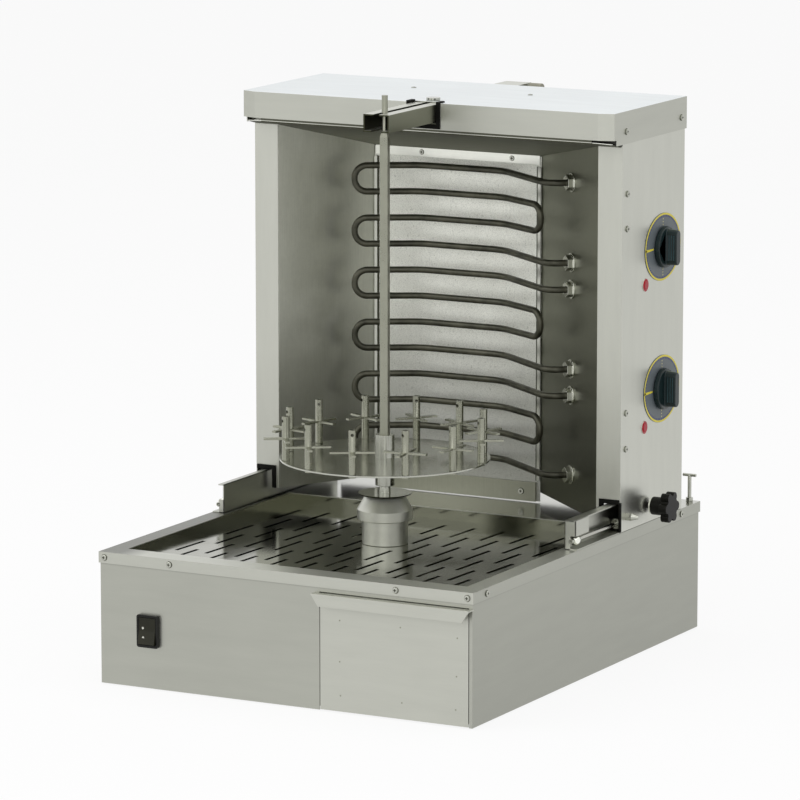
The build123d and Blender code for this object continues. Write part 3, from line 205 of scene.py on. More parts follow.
def brushed_steel(name, level, grain, roughness=0.36, shades=(), wear=1.0, gloss=(), tone=None):
    """Brushed stainless sheet: fine grain along one axis, cloudy wear and a few long rubs.

    Each shade is (axis, from, to, factor): painted light and shade, the sheet darkening or lightening by the
    factor along the axis.
    A gloss of the same form makes it smoother.
    """
    paint = Paint(name)
    fine = paint.noise(28, GRAIN[grain], 4, 0.6)
    broad = paint.noise(9, tuple(value ** 0.5 for value in GRAIN[grain]), 2)
    cloud = paint.noise(3.2, (1, 1, 1), 4, 0.6)
    shade = 1 + 0.10 * (fine - 0.5) + 0.10 * (broad - 0.5) + 0.12 * wear * (cloud - 0.5)
    for axis, start, end, factor in shades:
        shade = shade * paint.fade(paint.along(axis), start, end, 1.0, factor)
    tone = paint.scaled(tone or steel_tone(level), shade)
    rough = roughness + 0.14 * (fine - 0.5) + 0.10 * wear * (cloud - 0.5)
    for axis, start, end, factor in gloss:
        rough = rough * paint.fade(paint.along(axis), start, end, 1.0, factor)
    return paint.coat(base_color=tone, metallic=1.0, roughness=rough, normal=paint.relief(fine, 0.00005, 0.3))


def polished_steel(name, level, grain, roughness, shades=()):
    """Mirror-like sheet with soft drawn streaks, dull patches and splashes burnt on. Each shade (axis, from,
    to, factor) darkens it along an axis; on the wings and folds that is painted shade.
    """
    paint = Paint(name)
    fine = paint.noise(22, GRAIN[grain], 3)
    patch = paint.noise(5, (1, 1, 1), 5, 0.62)
    grit = paint.noise(160, (1, 1, 1), 3, 0.6)
    shade = 1 + 0.22 * (fine - 0.5) + 0.26 * (patch - 0.5) + 0.10 * (grit - 0.5)
    for axis, start, end, factor in shades:
        shade = shade * paint.fade(paint.along(axis), start, end, 1.0, factor)
    rough = roughness + 0.10 * (fine - 0.5) + 0.16 * paint.fade(patch, 0.5, 0.8)
    normal = paint.relief(fine, 0.00004, 0.3)
    tone = paint.scaled(steel_tone(level), shade)
    return paint.coat(base_color=tone, metallic=1.0, roughness=rough, normal=normal)


def speckled_reflector(name):
    """Aluminised reflector: pale and dull, covered with dark specks and burnt stains; painted shade darkens
    it towards its foot.
    """
    paint = Paint(name)
    grit = paint.noise(900, (1, 1, 1), 2, 0.7)
    specks = paint.fade(grit, 0.46, 0.62)
    pits = paint.fade(paint.noise(260, (1, 1, 1), 2, 0.6), 0.62, 0.72)
    stain = paint.fade(paint.noise(9, (1, 1, 0.7), 5, 0.65), 0.42, 0.75)
    tone = paint.blend(specks * 0.45, steel_tone(248), steel_tone(184))
    tone = paint.blend(pits * 0.35, tone, steel_tone(136))
    tone = paint.blend(stain * 0.25, tone, steel_tone(160))
    # Painted shade: darker towards the foot
    tone = paint.scaled(tone, paint.fade(paint.along("Z"), 0.42, 0.24, 1.0, 0.62))
    rough = 0.5 + 0.2 * (grit - 0.5)
    normal = paint.relief(grit, 0.00015, 0.35)
    return paint.coat(base_color=tone, metallic=0.6, roughness=rough, normal=normal)


def soot_and_shade_sheet(name, level):
    """Sheet dulled by heat and smoke, with dark and pale streaks from side to side; painted shade darkens its
    front under the hood, so it is paler at its rear.
    """
    paint = Paint(name)
    streaks = paint.noise(40, (0.7, 14, 14), 4, 0.6)
    soot = paint.noise(6, (1, 1, 1), 4, 0.6)
    shade = 1 + 0.9 * (streaks - 0.5) + 0.4 * (soot - 0.5)
    # Painted shade: darker at the front, under the hood
    shade = shade * paint.fade(paint.along("Y"), 0.07, 0.19, 0.55, 1.3)
    rough = 0.6 + 0.2 * (soot - 0.5)
    normal = paint.relief(streaks, 0.0001, 0.3)
    tone = paint.scaled(steel_tone(level), shade)
    return paint.coat(base_color=tone, roughness=rough, specular_ior_level=0.15, normal=normal)


def element_sheath(name):
    """Dark fired sheath of the heating tubes, with olive and grey patches."""
    paint = Paint(name)
    patch = paint.noise(34, (1, 1, 1), 5, 0.65)
    grit = paint.noise(600, (1, 1, 1), 2)
    tone = paint.blend(paint.fade(patch, 0.35, 0.7), from_screen(52, 52, 42), from_screen(88, 87, 74))
    rough = 0.36 + 0.3 * (patch - 0.5)
    normal = paint.relief(grit, 0.00008, 0.3)
    return paint.coat(base_color=tone, metallic=0.65, roughness=rough, normal=normal)


def moulded_plastic(name, color, roughness=0.3, shine=0.3):
    """Moulded plastic with a fine texture and lighter, rougher patches."""
    paint = Paint(name)
    grit = paint.noise(900, (1, 1, 1), 2)
    blotch = paint.noise(25, (1, 1, 1), 4)
    tone = paint.blend(paint.fade(blotch, 0.4, 0.8), color, tinted(color, 1.7))
    rough = roughness + 0.15 * (blotch - 0.5)
    normal = paint.relief(grit, 0.00005, 0.4)
    return paint.coat(base_color=tone, roughness=rough, specular_ior_level=shine, normal=normal)


def turned_metal(name, level, roughness):
    """Turned or plated metal: fine turning marks and tiny scratches."""
    paint = Paint(name)
    marks = paint.noise(700, (1, 1, 1), 2)
    blotch = paint.noise(60, (1, 1, 1), 4)
    shade = 1 + 0.25 * (blotch - 0.5) + 0.08 * (marks - 0.5)
    rough = roughness + 0.12 * (marks - 0.5) + 0.1 * (blotch - 0.5)
    normal = paint.relief(marks, 0.00003, 0.25)
    tone = paint.scaled(steel_tone(level), shade)
    return paint.coat(base_color=tone, metallic=1.0, roughness=rough, normal=normal)


def lamp_red(name):
    """Red lens of a pilot lamp, ribbed inside and glossy outside."""
    paint = Paint(name)
    ribs = paint.noise(500, (1, 1, 1), 1)
    tone = paint.blend(ribs, from_screen(140, 2, 20), from_screen(184, 10, 34))
    normal = paint.relief(ribs, 0.0001, 0.3)
    return paint.coat(base_color=tone, roughness=0.2, specular_ior_level=0.3, normal=normal)


def printed(name, color):
    """Print or enamel: a plain colour with slight unevenness."""
    paint = Paint(name)
    uneven = paint.noise(300, (1, 1, 1), 3)
    tone = paint.blend(uneven, tinted(color, 0.86), tinted(color, 1.08))
    return paint.coat(base_color=tone, roughness=0.45 + 0.1 * (uneven - 0.5))


# Painted shadow: the dark line that the lid's lip throws on the sheets under it
LID_SHADOW_LINE = ("Z", 0.1512, 0.1526, 0.84)

FINISHES = {
    # Lighter and darker copies of one brushed steel, by where the faces look: painted light and shade. The
    # base's sides darken towards the floor: painted shade
    "base_front": brushed_steel("base_front", 174, "X", 0.4, [LID_SHADOW_LINE]),
    "base_side": brushed_steel("base_side", 164, "Y", 0.4, [("Z", 0.14, 0.0, 0.93), LID_SHADOW_LINE]),
    # The lid's top darkens at its left rim and towards the rear: painted shade
    "lid_top": brushed_steel(
        "lid_top", 190, "X", 0.4, [("X", -0.20, -0.232, 0.4), ("Y", 0.02, 0.08, 0.82)],
        gloss=[("Y", 0.04, 0.11, 0.38)],
    ),
    "lid_lip_front": brushed_steel("lid_lip_front", 187, "X", 0.4),
    "lid_lip_side": brushed_steel("lid_lip_side", 168, "Y", 0.4),
    "drawer_steel": brushed_steel("drawer_steel", 189, "X", 0.42, wear=0.6),
    "inner_steel": brushed_steel("inner_steel", 150, "X", 0.4),
    "flank_steel": brushed_steel("flank_steel", 191, "Z", 0.32, wear=0.7),
    # The legs darken towards their feet: painted shade
    "leg_steel": brushed_steel("leg_steel", 191, "Z", 0.4, [("Z", 0.36, 0.2, 0.88)]),
    # The hood's top is whiter and bluer than its other faces: a painted reflection of the bright space above
    # it
    "hood_top": brushed_steel("hood_top", 220, "X", 0.4, tone=from_screen(217, 221, 222)),
    "hood_front": brushed_steel("hood_front", 183, "X", 0.4),
    "hood_side": brushed_steel("hood_side", 181, "Y", 0.4),
    "rail_steel": brushed_steel("rail_steel", 178, "Y"),
    # The arm's top is lighter than its sides, painted light and shade; its inside takes the near black
    # painted shade
    "arm_steel": brushed_steel("arm_steel", 140, "Y"),
    "arm_top": brushed_steel("arm_top", 190, "Y"),
    # The left wing is much lighter than the right: painted reflection. Both darken towards their foot:
    # painted shade
    "wing_left": polished_steel("wing_left", 226, "Z", 0.3, [("Z", 0.42, 0.22, 0.7)]),
    "wing_right": polished_steel("wing_right", 122, "Z", 0.3, [("Z", 0.42, 0.22, 0.78)]),
    "ceiling_steel": soot_and_shade_sheet("ceiling_steel", 112),
    "strip_steel": polished_steel("strip_steel", 238, "X", 0.35),
    "skirt_steel": polished_steel("skirt_steel", 150, "Z", 0.3),
    "tray_steel": polished_steel("tray_steel", 136, "Y", 0.1, [("X", 0.10, 0.20, 0.8)]),
    "reflector_sheet": speckled_reflector("reflector_sheet"),
    "turned_steel": turned_metal("turned_steel", 172, 0.24),
    "holder_steel": turned_metal("holder_steel", 150, 0.26),
    "hub_metal": turned_metal("hub_metal", 208, 0.38),
    "disc_steel": turned_metal("disc_steel", 176, 0.16),
    "bar_steel": turned_metal("bar_steel", 150, 0.3),
    # The slinger's top is light and its edge near black: painted light on top, painted shadow under its rim
    "slinger_top": turned_metal("slinger_top", 196, 0.1),
    "slinger_edge_shade": turned_metal("slinger_edge_shade", 38, 0.3),
    "screw_steel": turned_metal("screw_steel", 176, 0.2),
    "nut_steel": turned_metal("nut_steel", 236, 0.12),
    "element_nut_steel": turned_metal("element_nut_steel", 216, 0.16),
    # Near black: painted shade in recesses, creases, under the ceiling's fold, round screw heads and inside
    # the arm, and the dark joint lines beside the reflector's folds
    "dark_joint_and_shade": turned_metal("dark_joint_and_shade", 62, 0.4),
    "element_sheath": element_sheath("element_sheath"),
    "gearbox_paint": printed("gearbox_paint", from_screen(90, 92, 94)),
    "black_plastic": moulded_plastic("black_plastic", from_screen(13, 14, 10), shine=0.25),
    "switch_plastic": moulded_plastic("switch_plastic", from_screen(34, 34, 24), 0.4, shine=0.2),
    "knob_plastic": moulded_plastic("knob_plastic", from_screen(16, 32, 33), 0.32, shine=0.3),
    "star_plastic": moulded_plastic("star_plastic", from_screen(9, 9, 5), 0.4, shine=0.16),
    "grey_plastic": moulded_plastic("grey_plastic", from_screen(126, 124, 110), 0.4),
    "ridge_highlight": moulded_plastic("ridge_highlight", from_screen(52, 76, 80), 0.3),
    "black_rubber": moulded_plastic("black_rubber", from_screen(10, 10, 7), 0.7, shine=0.12),
    "dial_face": printed("dial_face", from_screen(94, 102, 106)),
    "dial_yellow": printed("dial_yellow", from_screen(226, 210, 66)),
    "dial_blue": printed("dial_blue", from_screen(40, 52, 112)),
    "dial_cream": printed("dial_cream", from_screen(206, 200, 140)),
    "mark_white": printed("mark_white", from_screen(206, 206, 196)),
    "pointer_grey": printed("pointer_grey", from_screen(112, 124, 108)),
    "weld_grey": turned_metal("weld_grey", 150, 0.4),
    # The ceiling's front fold darkens at its top under the hood's lip, and the bright folds darken towards
    # their foot: painted shade
    "fold_steel": polished_steel("fold_steel", 112, "X", 0.3, [("Z", 0.6608, 0.6625, 0.55)]),
    "fold_bright": polished_steel("fold_bright", 196, "Z", 0.3, [("Z", 0.42, 0.22, 0.85)]),
    "lamp_red": lamp_red("lamp_red"),
    "bezel_pale": turned_metal("bezel_pale", 226, 0.3),
}

NODE_FINISH = {
    "base_shell": "inner_steel", "base_bottom": "inner_steel", "base_lid": "inner_steel",
    "drawer_front": "drawer_steel", "drawer_pan": "inner_steel", "slotted_tray": "tray_steel",
    "tray_frame": "tray_steel", "drain_pan": "tray_steel", "hub_bell": "hub_metal",
    "gearmotor": "gearbox_paint",
    "switch_frame": "black_plastic", "switch_rocker": "switch_plastic", "rail_left": "rail_steel",
    "rail_right": "rail_steel", "guide_rods": "screw_steel", "rubber_feet": "black_rubber",
    "cable_gland": "black_plastic", "base_screws": "screw_steel", "rear_thumb_screw": "screw_steel",
    "drive_shaft": "turned_steel", "slinger_disc": "slinger_edge_shade", "spit_sleeve": "turned_steel",
    "spit_disc": "disc_steel", "spit_bar": "bar_steel", "tower_left_wall": "inner_steel",
    "tower_right_wall": "inner_steel", "tower_rear_cover": "flank_steel", "wing_left": "wing_left",
    "wing_right": "wing_right", "reflector": "reflector_sheet", "ceiling_panel": "ceiling_steel",
    "hood": "inner_steel", "edge_trims": "black_rubber", "heating_element_1": "element_sheath",
    "heating_element_2": "element_sheath", "heating_element_3": "element_sheath",
    "element_nuts": "element_nut_steel",
    "regulators": "black_plastic", "dial_plates": "dial_face", "pilot_lamps": "lamp_red",
    "tower_screws": "screw_steel", "slider_bushes": "turned_steel", "regulator_knob_upper": "knob_plastic",
    "regulator_knob_lower": "knob_plastic", "clamp_star_knob": "star_plastic", "spit_arm": "arm_steel",
    "arm_pull_knob": "grey_plastic", "arm_clamp_screw": "screw_steel",
}
HOLDERS = 12
for number in range(1, HOLDERS + 1):
    NODE_FINISH[f"skewer_holder_{number:02d}"] = "holder_steel"

LEVEL = 0.7
FLANK = 200 * MM
SKIRT_TOP = 196 * MM
ARM_INSIDE = 16.5 * MM
BEZEL_FACE = 262.35 * MM


def faces_up(spot, normal):
    return normal.z > LEVEL


def faces_front(spot, normal):
    return normal.y < -LEVEL


def faces_back(spot, normal):
    return normal.y > LEVEL


def faces_outwards(spot, normal):
    return normal.x * spot.x > LEVEL * abs(spot.x) and abs(spot.x) > FLANK


def on_skirt(spot, normal):
    return spot.z < SKIRT_TOP


def inside_arm(spot, normal):
    return abs(spot.x) < ARM_INSIDE


def on_bezel(spot, normal):
    return spot.x < BEZEL_FACE


# Finishes of a node's faces by where they look or lie; on the base, lid, hood, tower walls, arm and slinger
# these are lighter and darker copies of one metal, painted light and shade; the first test that fits counts
AREAS = {
    "base_shell": [(faces_front, "base_front"), (faces_outwards, "base_side"), (faces_back, "base_front")],
    "base_lid": [
        (faces_up, "lid_top"), (faces_front, "lid_lip_front"), (faces_outwards, "lid_lip_side"),
        (faces_back, "lid_lip_front"),
    ],
    "hood": [
        (faces_up, "hood_top"), (faces_front, "hood_front"), (faces_outwards, "hood_side"),
        (faces_back, "hood_front"),
    ],
    "tower_left_wall": [(faces_outwards, "flank_steel"), (faces_front, "leg_steel")],
    "tower_right_wall": [(faces_outwards, "flank_steel"), (faces_front, "leg_steel")],
    "ceiling_panel": [(faces_front, "strip_steel")],
    "slinger_disc": [(faces_up, "slinger_top")],
    "reflector": [(on_skirt, "skirt_steel")],
    "spit_arm": [(faces_up, "arm_top"), (inside_arm, "dark_joint_and_shade")],
    "pilot_lamps": [(on_bezel, "bezel_pale")],
}


def finished_mesh(name, shape):
    """A shape as a mesh; the shape itself is freed."""
    mesh = bpy.data.meshes.new(name)
    shape.to_mesh(mesh)
    shape.free()
    return mesh


def add_piece(name, mesh, finishes, body):
    """A mesh as a piece of the grill: its finishes and the body it rides on."""
    mesh.materials.clear()
    for finish in finishes:
        mesh.materials.append(FINISHES[finish])
    piece = bpy.data.objects.new(name, mesh)
    bpy.context.scene.collection.objects.link(piece)
    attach(piece, body)
    return piece


def add_shape(name, shape, finish, body):
    """A shape as a piece of one finish."""
    return add_piece(name, finished_mesh(name, shape), [finish], body)


EDGE_ANGLE = math.radians(32)


def ease_edges(piece, width):
    """Rounded edges, as on folded and moulded parts."""
    bevel = piece.modifiers.new("eased_edges", "BEVEL")
    bevel.width = width * MM
    bevel.segments = 2
    bevel.limit_method = "ANGLE"
    bevel.angle_limit = EDGE_ANGLE
    bevel.harden_normals = True


def cad_mesh(node):
    """The mesh of a CAD node."""
    return next(o for o in bpy.data.objects if o.type == "MESH" and o.name == node).data


def groups_of(shape):
    """The separate shapes of a mesh, as lists of their points."""
    left = set(shape.verts)
    found = []
    while left:
        group, edge = set(), {next(iter(left))}
        while edge:
            group |= edge
            edge = {e.other_vert(v) for v in edge for e in v.link_edges} - group
        left -= group
        found.append(sorted(group, key=lambda v: v.index))
    return sorted(found, key=lambda group: group[0].index)


def prism(outlines, start, end):
    """Straight bars over closed outlines of (y, z) points, between two values of x."""
    shape = bmesh.new()
    for points in outlines:
        first, second = ([shape.verts.new((x, y, z)) for y, z in points] for x in (start, end))
        shape.faces.new(first[::-1])
        shape.faces.new(second)
        join_rings(shape, first, second)
    bmesh.ops.recalc_face_normals(shape, faces=shape.faces)
    return shape


def box_bars(boxes):
    """Straight bars between pairs of corners."""
    shape = bmesh.new()
    for low, high in boxes:
        for vert in bmesh.ops.create_cube(shape, size=1.0)["verts"]:
            vert.co = Vector([(a + b) / 2 + vert.co[i] * (b - a) for i, (a, b) in enumerate(zip(low, high))])
    return shape


def ring(shape, axis, level, middle, radius, count):
    """New points on a circle round an axis, at one level along it."""
    across = [i for i in range(3) if i != axis]
    points = []
    for i in range(count):
        spot = [0, 0, 0]
        spot[axis] = level
        spot[across[0]] = middle[0] + radius * math.cos(math.tau * i / count)
        spot[across[1]] = middle[1] + radius * math.sin(math.tau * i / count)
        points.append(shape.verts.new(spot))
    return points


def join_rings(shape, first, second):
    """Faces between two closed rows with the same number of points."""
    for here in range(len(first)):
        after = (here + 1) % len(first)
        shape.faces.new((first[here], first[after], second[after], second[here]))


def turned(axis, profile, middle, count, hollow=False):
    """A turned shape round an axis from (level, radius) points, closed by end faces or, hollow, on itself."""
    shape = bmesh.new()
    rings = [ring(shape, axis, level, middle, radius, count) for level, radius in profile]
    for first, second in zip(rings, rings[1:] + (rings[:1] if hollow else [])):
        join_rings(shape, first, second)
    if not hollow:
        shape.faces.new(rings[0])
        shape.faces.new(rings[-1][::-1])
    bmesh.ops.recalc_face_normals(shape, faces=shape.faces)
    for face in shape.faces:
        face.smooth = not hollow
    return shape


def front_discs(spots, radius, face, proud, sunk, count=16):
    """Thin discs on a face that looks to the front."""
    shape = bmesh.new()
    for spot in spots:
        back, front = (ring(shape, 1, y, spot, radius, count) for y in (face + sunk, face - proud))
        shape.faces.new(back)
        shape.faces.new(front[::-1])
        join_rings(shape, back, front)
    bmesh.ops.recalc_face_normals(shape, faces=shape.faces)
    return shape


SAME_POINT = 1e-6
FLAT_ANGLE = math.radians(1.0)


def dressed(node, edge):
    """A node's own shape with its edges eased, its round faces shaded smooth and its areas finished."""
    shape = bmesh.new()
    shape.from_mesh(cad_mesh(node))
    bmesh.ops.remove_doubles(shape, verts=shape.verts, dist=SAME_POINT)
    bmesh.ops.dissolve_limit(shape, angle_limit=FLAT_ANGLE, verts=shape.verts, edges=shape.edges)
    areas = AREAS.get(node, [])
    for face in shape.faces:
        spot = face.calc_center_median()
        fits = [place for place, (test, finish) in enumerate(areas, 1) if test(spot, face.normal)]
        face.material_index = fits[0] if fits else 0
    mesh = finished_mesh(node + "_dressed", shape)
    for face in mesh.polygons:
        face.use_smooth = True
    mesh.set_sharp_from_angle(angle=EDGE_ANGLE)
    places = [face.material_index for face in mesh.polygons]
    finishes = [NODE_FINISH[node]] + [finish for test, finish in areas]
    piece = add_piece(node + "_dressed", mesh, finishes, BODY_OF[node])
    for face, place in zip(mesh.polygons, places):
        face.material_index = place
    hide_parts(node)
    if edge:
        ease_edges(piece, edge)


# How far each node's edges are eased, in millimetres
EDGES = {
    "slotted_tray": 0, "drain_pan": 0, "tray_frame": 0, "base_screws": 0.8, "tower_screws": 0.7,
    "element_nuts": 0.5,
    "regulator_knob_upper": 1.2, "regulator_knob_lower": 1.2, "clamp_star_knob": 1.0, "dial_plates": 0.15,
    "pilot_lamps": 0.25, "hub_bell": 0.8, "arm_pull_knob": 1.0, "hood": 0.7, "base_lid": 0.7,
    "guide_rods": 0.5,
}
SHEET_EDGE = 0.3
for node in NODE_FINISH:
    dressed(node, EDGES.get(node, SHEET_EDGE))


# The nuts of the heating elements are a little wider across than their cores
NUT_AXIS = Vector((-0.674, -0.738, 0))
NUT_CORE = 5.5 * MM
NUT_SHARE = 1.22


def widen_nuts(piece):
    """Moves the outer points of each nut away from its axis."""
    shape = bmesh.new()
    shape.from_mesh(piece.data)
    for group in groups_of(shape):
        middle = sum((v.co for v in group), Vector()) / len(group)
        for vert in group:
            reach = vert.co - middle
            straight = NUT_AXIS * reach.dot(NUT_AXIS)
            if (reach - straight).length > NUT_CORE:
                vert.co = middle + straight + (reach - straight) * NUT_SHARE
    shape.to_mesh(piece.data)
    shape.free()


widen_nuts(bpy.data.objects["element_nuts_dressed"])


# Print on the dial plates: a yellow ring, blue dashes inside it, a tapered mark and columns of dots
DIAL_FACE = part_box("dial_plates")[1][0]
DIAL_Y = 195.3 * MM
DIAL_HEIGHTS = (516 * MM, 334.5 * MM)
DIAL_HALF = (52 * MM, 43 * MM)
PRINT_SUNK = 0.02 * MM
PRINT = 0.12 * MM
RING_EDGE = 0.2 * MM
RING_WIDTH = 2.6 * MM
RING_STEPS = 120
DASHES = 60
DASH_SHARE = 0.54
DASH_HALF = math.tau / DASHES * DASH_SHARE / 2
DASH_SPAN = (RING_WIDTH + 0.5 * MM, RING_WIDTH + 2.6 * MM)
MARK_START, MARK_END = DIAL_Y - DIAL_HALF[0] + 0.6 * MM, DIAL_Y - 27.5 * MM
MARK_HALF_START, MARK_HALF_END = 1.7 * MM, 1.1 * MM
DOT_RISES = (28.3 * MM, 32.0 * MM, 35.7 * MM)
DOT_RADIUS = 1.0 * MM
DOT_CORNERS = 10


def dial_points(height, inset, turns, count=1):
    """Points on an ellipse inside the dial's edge, at one turn or evenly round it."""
    half_y, half_z = DIAL_HALF[0] - inset, DIAL_HALF[1] - inset
    angles = [turns + math.tau * i / count for i in range(count)]
    return [(DIAL_Y + half_y * math.cos(angle), height + half_z * math.sin(angle)) for angle in angles]


def ring_outlines(height):
    """The elliptical ring along the dial's edge, in short straight steps."""
    outside = dial_points(height, RING_EDGE, 0, RING_STEPS)
    inside = dial_points(height, RING_WIDTH, 0, RING_STEPS)
    steps = [(i, (i + 1) % RING_STEPS) for i in range(RING_STEPS)]
    return [[outside[here], outside[after], inside[after], inside[here]] for here, after in steps]


def dash_outlines(height):
    """Short dashes along the ring's inner edge."""
    bars = []
    for i in range(DASHES):
        turn = math.tau * i / DASHES
        outer = [dial_points(height, DASH_SPAN[0], turn + side * DASH_HALF)[0] for side in (-1, 1)]
        inner = [dial_points(height, DASH_SPAN[1], turn + side * DASH_HALF)[0] for side in (1, -1)]
        bars.append(outer + inner)
    return bars


def mark_outlines(height):
    """The tapered mark from the ring towards the knob, on the user's side."""
    return [[
        (MARK_START, height - MARK_HALF_START), (MARK_END, height - MARK_HALF_END),
        (MARK_END, height + MARK_HALF_END), (MARK_START, height + MARK_HALF_START),
    ]]


def dot_outlines(height):
    """Columns of small dots above and below the knob."""
    angles = [math.tau * i / DOT_CORNERS for i in range(DOT_CORNERS)]
    return [
        [(DIAL_Y + DOT_RADIUS * math.cos(a), height + side * rise + DOT_RADIUS * math.sin(a)) for a in angles]
        for rise in DOT_RISES for side in (-1, 1)
    ]


DIALS = list(zip(("upper", "lower"), DIAL_HEIGHTS))
PRINTS = {
    "ring": (ring_outlines, "dial_yellow"), "dashes": (dash_outlines, "dial_blue"),
    "mark": (mark_outlines, "dial_yellow"), "dots": (dot_outlines, "dial_cream"),
}
for place, height in DIALS:
    for part, (outlines, finish) in PRINTS.items():
        shape = prism(outlines(height), DIAL_FACE - PRINT_SUNK, DIAL_FACE + PRINT)
        add_shape(f"dial_{part}_{place}", shape, finish, "tower")


# Ribs down both sides of each control knob's grip, lighter than the knob as painted highlights, and a pale
# pointer line along its top
KNOB_START = 263.1 * MM
KNOB_BASE = 6.5 * MM
KNOB_REACH = 21.0 * MM
GRIP_HALF_WIDTH = 7.0 * MM
GRIP_HALF_HEIGHT = 23.0 * MM
GRIP_TAPER = 0.7 * MM
RIB_PLACES = (0.3, 0.52, 0.74)
RIB_WIDTH = 1.5 * MM
RIB_PROUD, RIB_SUNK = 0.35 * MM, 0.8 * MM
LINE_HALF_WIDTH = 0.8 * MM
LINE_PROUD, LINE_SUNK = 0.15 * MM, 0.4 * MM
LINE_ENDS = (
    (KNOB_START + KNOB_BASE + 0.5 * MM, GRIP_HALF_HEIGHT),
    (KNOB_START + KNOB_REACH - 1.2 * MM, GRIP_HALF_HEIGHT - GRIP_TAPER),
)


def knob_ribs(height):
    """Upright ribs with sloping sides on both flanks of a grip."""
    shape = bmesh.new()
    tall = GRIP_HALF_HEIGHT - GRIP_HALF_WIDTH
    for side in (-1, 1):
        for share in RIB_PLACES:
            middle = KNOB_START + KNOB_BASE + (KNOB_REACH - KNOB_BASE) * share
            reach = GRIP_HALF_WIDTH - GRIP_TAPER * share
            outer = DIAL_Y + side * (reach + RIB_PROUD)
            inner = DIAL_Y + side * (reach - RIB_SUNK)
            section = ((-1, inner), (-0.5, outer), (0.5, outer), (1, inner))
            low, top = (
                [shape.verts.new((middle + x * RIB_WIDTH / 2, y, height + end * tall)) for x, y in section]
                for end in (-1, 1)
            )
            shape.faces.new(low)
            shape.faces.new(top[::-1])
            join_rings(shape, low, top)
    bmesh.ops.recalc_face_normals(shape, faces=shape.faces)
    return shape


def knob_pointer_line(height):
    """A line let into the top of a grip, from its root to its front."""
    shape = bmesh.new()
    section = ((-1, -LINE_SUNK), (-1, LINE_PROUD), (1, LINE_PROUD), (1, -LINE_SUNK))
    root, front = (
        [shape.verts.new((x, DIAL_Y + y * LINE_HALF_WIDTH, height + rise + lift)) for y, lift in section]
        for x, rise in LINE_ENDS
    )
    shape.faces.new(root)
    shape.faces.new(front[::-1])
    join_rings(shape, root, front)
    bmesh.ops.recalc_face_normals(shape, faces=shape.faces)
    return shape


for place, height in DIALS:
    body = BODY_OF["regulator_knob_" + place]
    add_shape("knob_ribs_" + place, knob_ribs(height), "ridge_highlight", body)
    add_shape("knob_pointer_line_" + place, knob_pointer_line(height), "pointer_grey", body)


# Cross recesses in the screw heads and a dark ring round each head, both painted shade
HEAD_RADIUS_LIMIT = 4.5 * MM
HEAD_HEIGHT_LIMIT = 1.6 * MM
CROSS_ARM = 1.9 * MM
CROSS_WIDTH = 0.5 * MM
CROSS_DEPTH = 0.06 * MM
SHADE_RING_WIDTH = 0.55 * MM
SHADE_RING_HEIGHT = 0.08 * MM
SHADE_RING_STEPS = 20
TOWER_MIDDLE = 250 * MM


def islands(node):
    """The separate shapes of a node: each one's middle and half sizes."""
    shape = bmesh.new()
    shape.from_mesh(cad_mesh(node))
    bmesh.ops.remove_doubles(shape, verts=shape.verts, dist=SAME_POINT)
    shape.verts.index_update()
    found = []
    for group in groups_of(shape):
        low = [min(v.co[i] for v in group) for i in range(3)]
        high = [max(v.co[i] for v in group) for i in range(3)]
        found.append(([(a + b) / 2 for a, b in zip(low, high)], [(b - a) / 2 for a, b in zip(low, high)]))
    shape.free()
    return sorted(found)


def cross_recess(shape, middle, half, axis, side):
    """A cross on the outer face of a screw head."""
    across = [i for i in range(3) if i != axis]
    for long_way in (0, 1):
        size = [0, 0, 0]
        size[axis] = CROSS_DEPTH
        size[across[long_way]] = CROSS_ARM
        size[across[1 - long_way]] = CROSS_WIDTH
        spot = list(middle)
        spot[axis] += side * half[axis]
        for vert in bmesh.ops.create_cube(shape, size=2.0)["verts"]:
            vert.co = Vector([spot[i] + vert.co[i] * size[i] for i in range(3)])


def contact_shade_ring(shape, middle, half, axis, side):
    """A flat dark ring on the sheet round the foot of a screw head: painted contact shade."""
    across = [middle[i] for i in range(3) if i != axis]
    rows = [
        ring(shape, axis, middle[axis] + side * (lift - half[axis]), across, radius, SHADE_RING_STEPS)
        for radius in (max(half), max(half) + SHADE_RING_WIDTH) for lift in (0.0, SHADE_RING_HEIGHT)
    ]
    for first, second in ((0, 1), (1, 3), (3, 2), (2, 0)):
        join_rings(shape, rows[first], rows[second])


for node in ("base_screws", "tower_screws"):
    shape = bmesh.new()
    for middle, half in islands(node):
        axis = half.index(min(half))
        if max(half) < HEAD_RADIUS_LIMIT and half[axis] < HEAD_HEIGHT_LIMIT:
            halfway = TOWER_MIDDLE if axis == 1 and node == "tower_screws" else 0
            side = 1 if middle[axis] > halfway else -1
            cross_recess(shape, middle, half, axis, side)
            contact_shade_ring(shape, middle, half, axis, side)
    bmesh.ops.recalc_face_normals(shape, faces=shape.faces)
    add_shape(node + "_recesses", shape, "dark_joint_and_shade", BODY_OF[node])


# Marks of the spot welds on the drawer front
WELD_SPOTS = [(78, 115), (161, 115), (238, 110), (78, 64), (237, 63), (79, 22), (163, 22.5), (236, 22)]
WELD_RADIUS = 1.1 * MM
WELD_PROUD, WELD_SUNK = 0.06 * MM, 0.05 * MM
DRAWER_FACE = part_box("base_shell")[0][1]
weld_spots = [(x * MM, z * MM) for x, z in WELD_SPOTS]
welds = front_discs(weld_spots, WELD_RADIUS, DRAWER_FACE, WELD_PROUD, WELD_SUNK)
add_shape("drawer_weld_marks", welds, "weld_grey", "drawer")

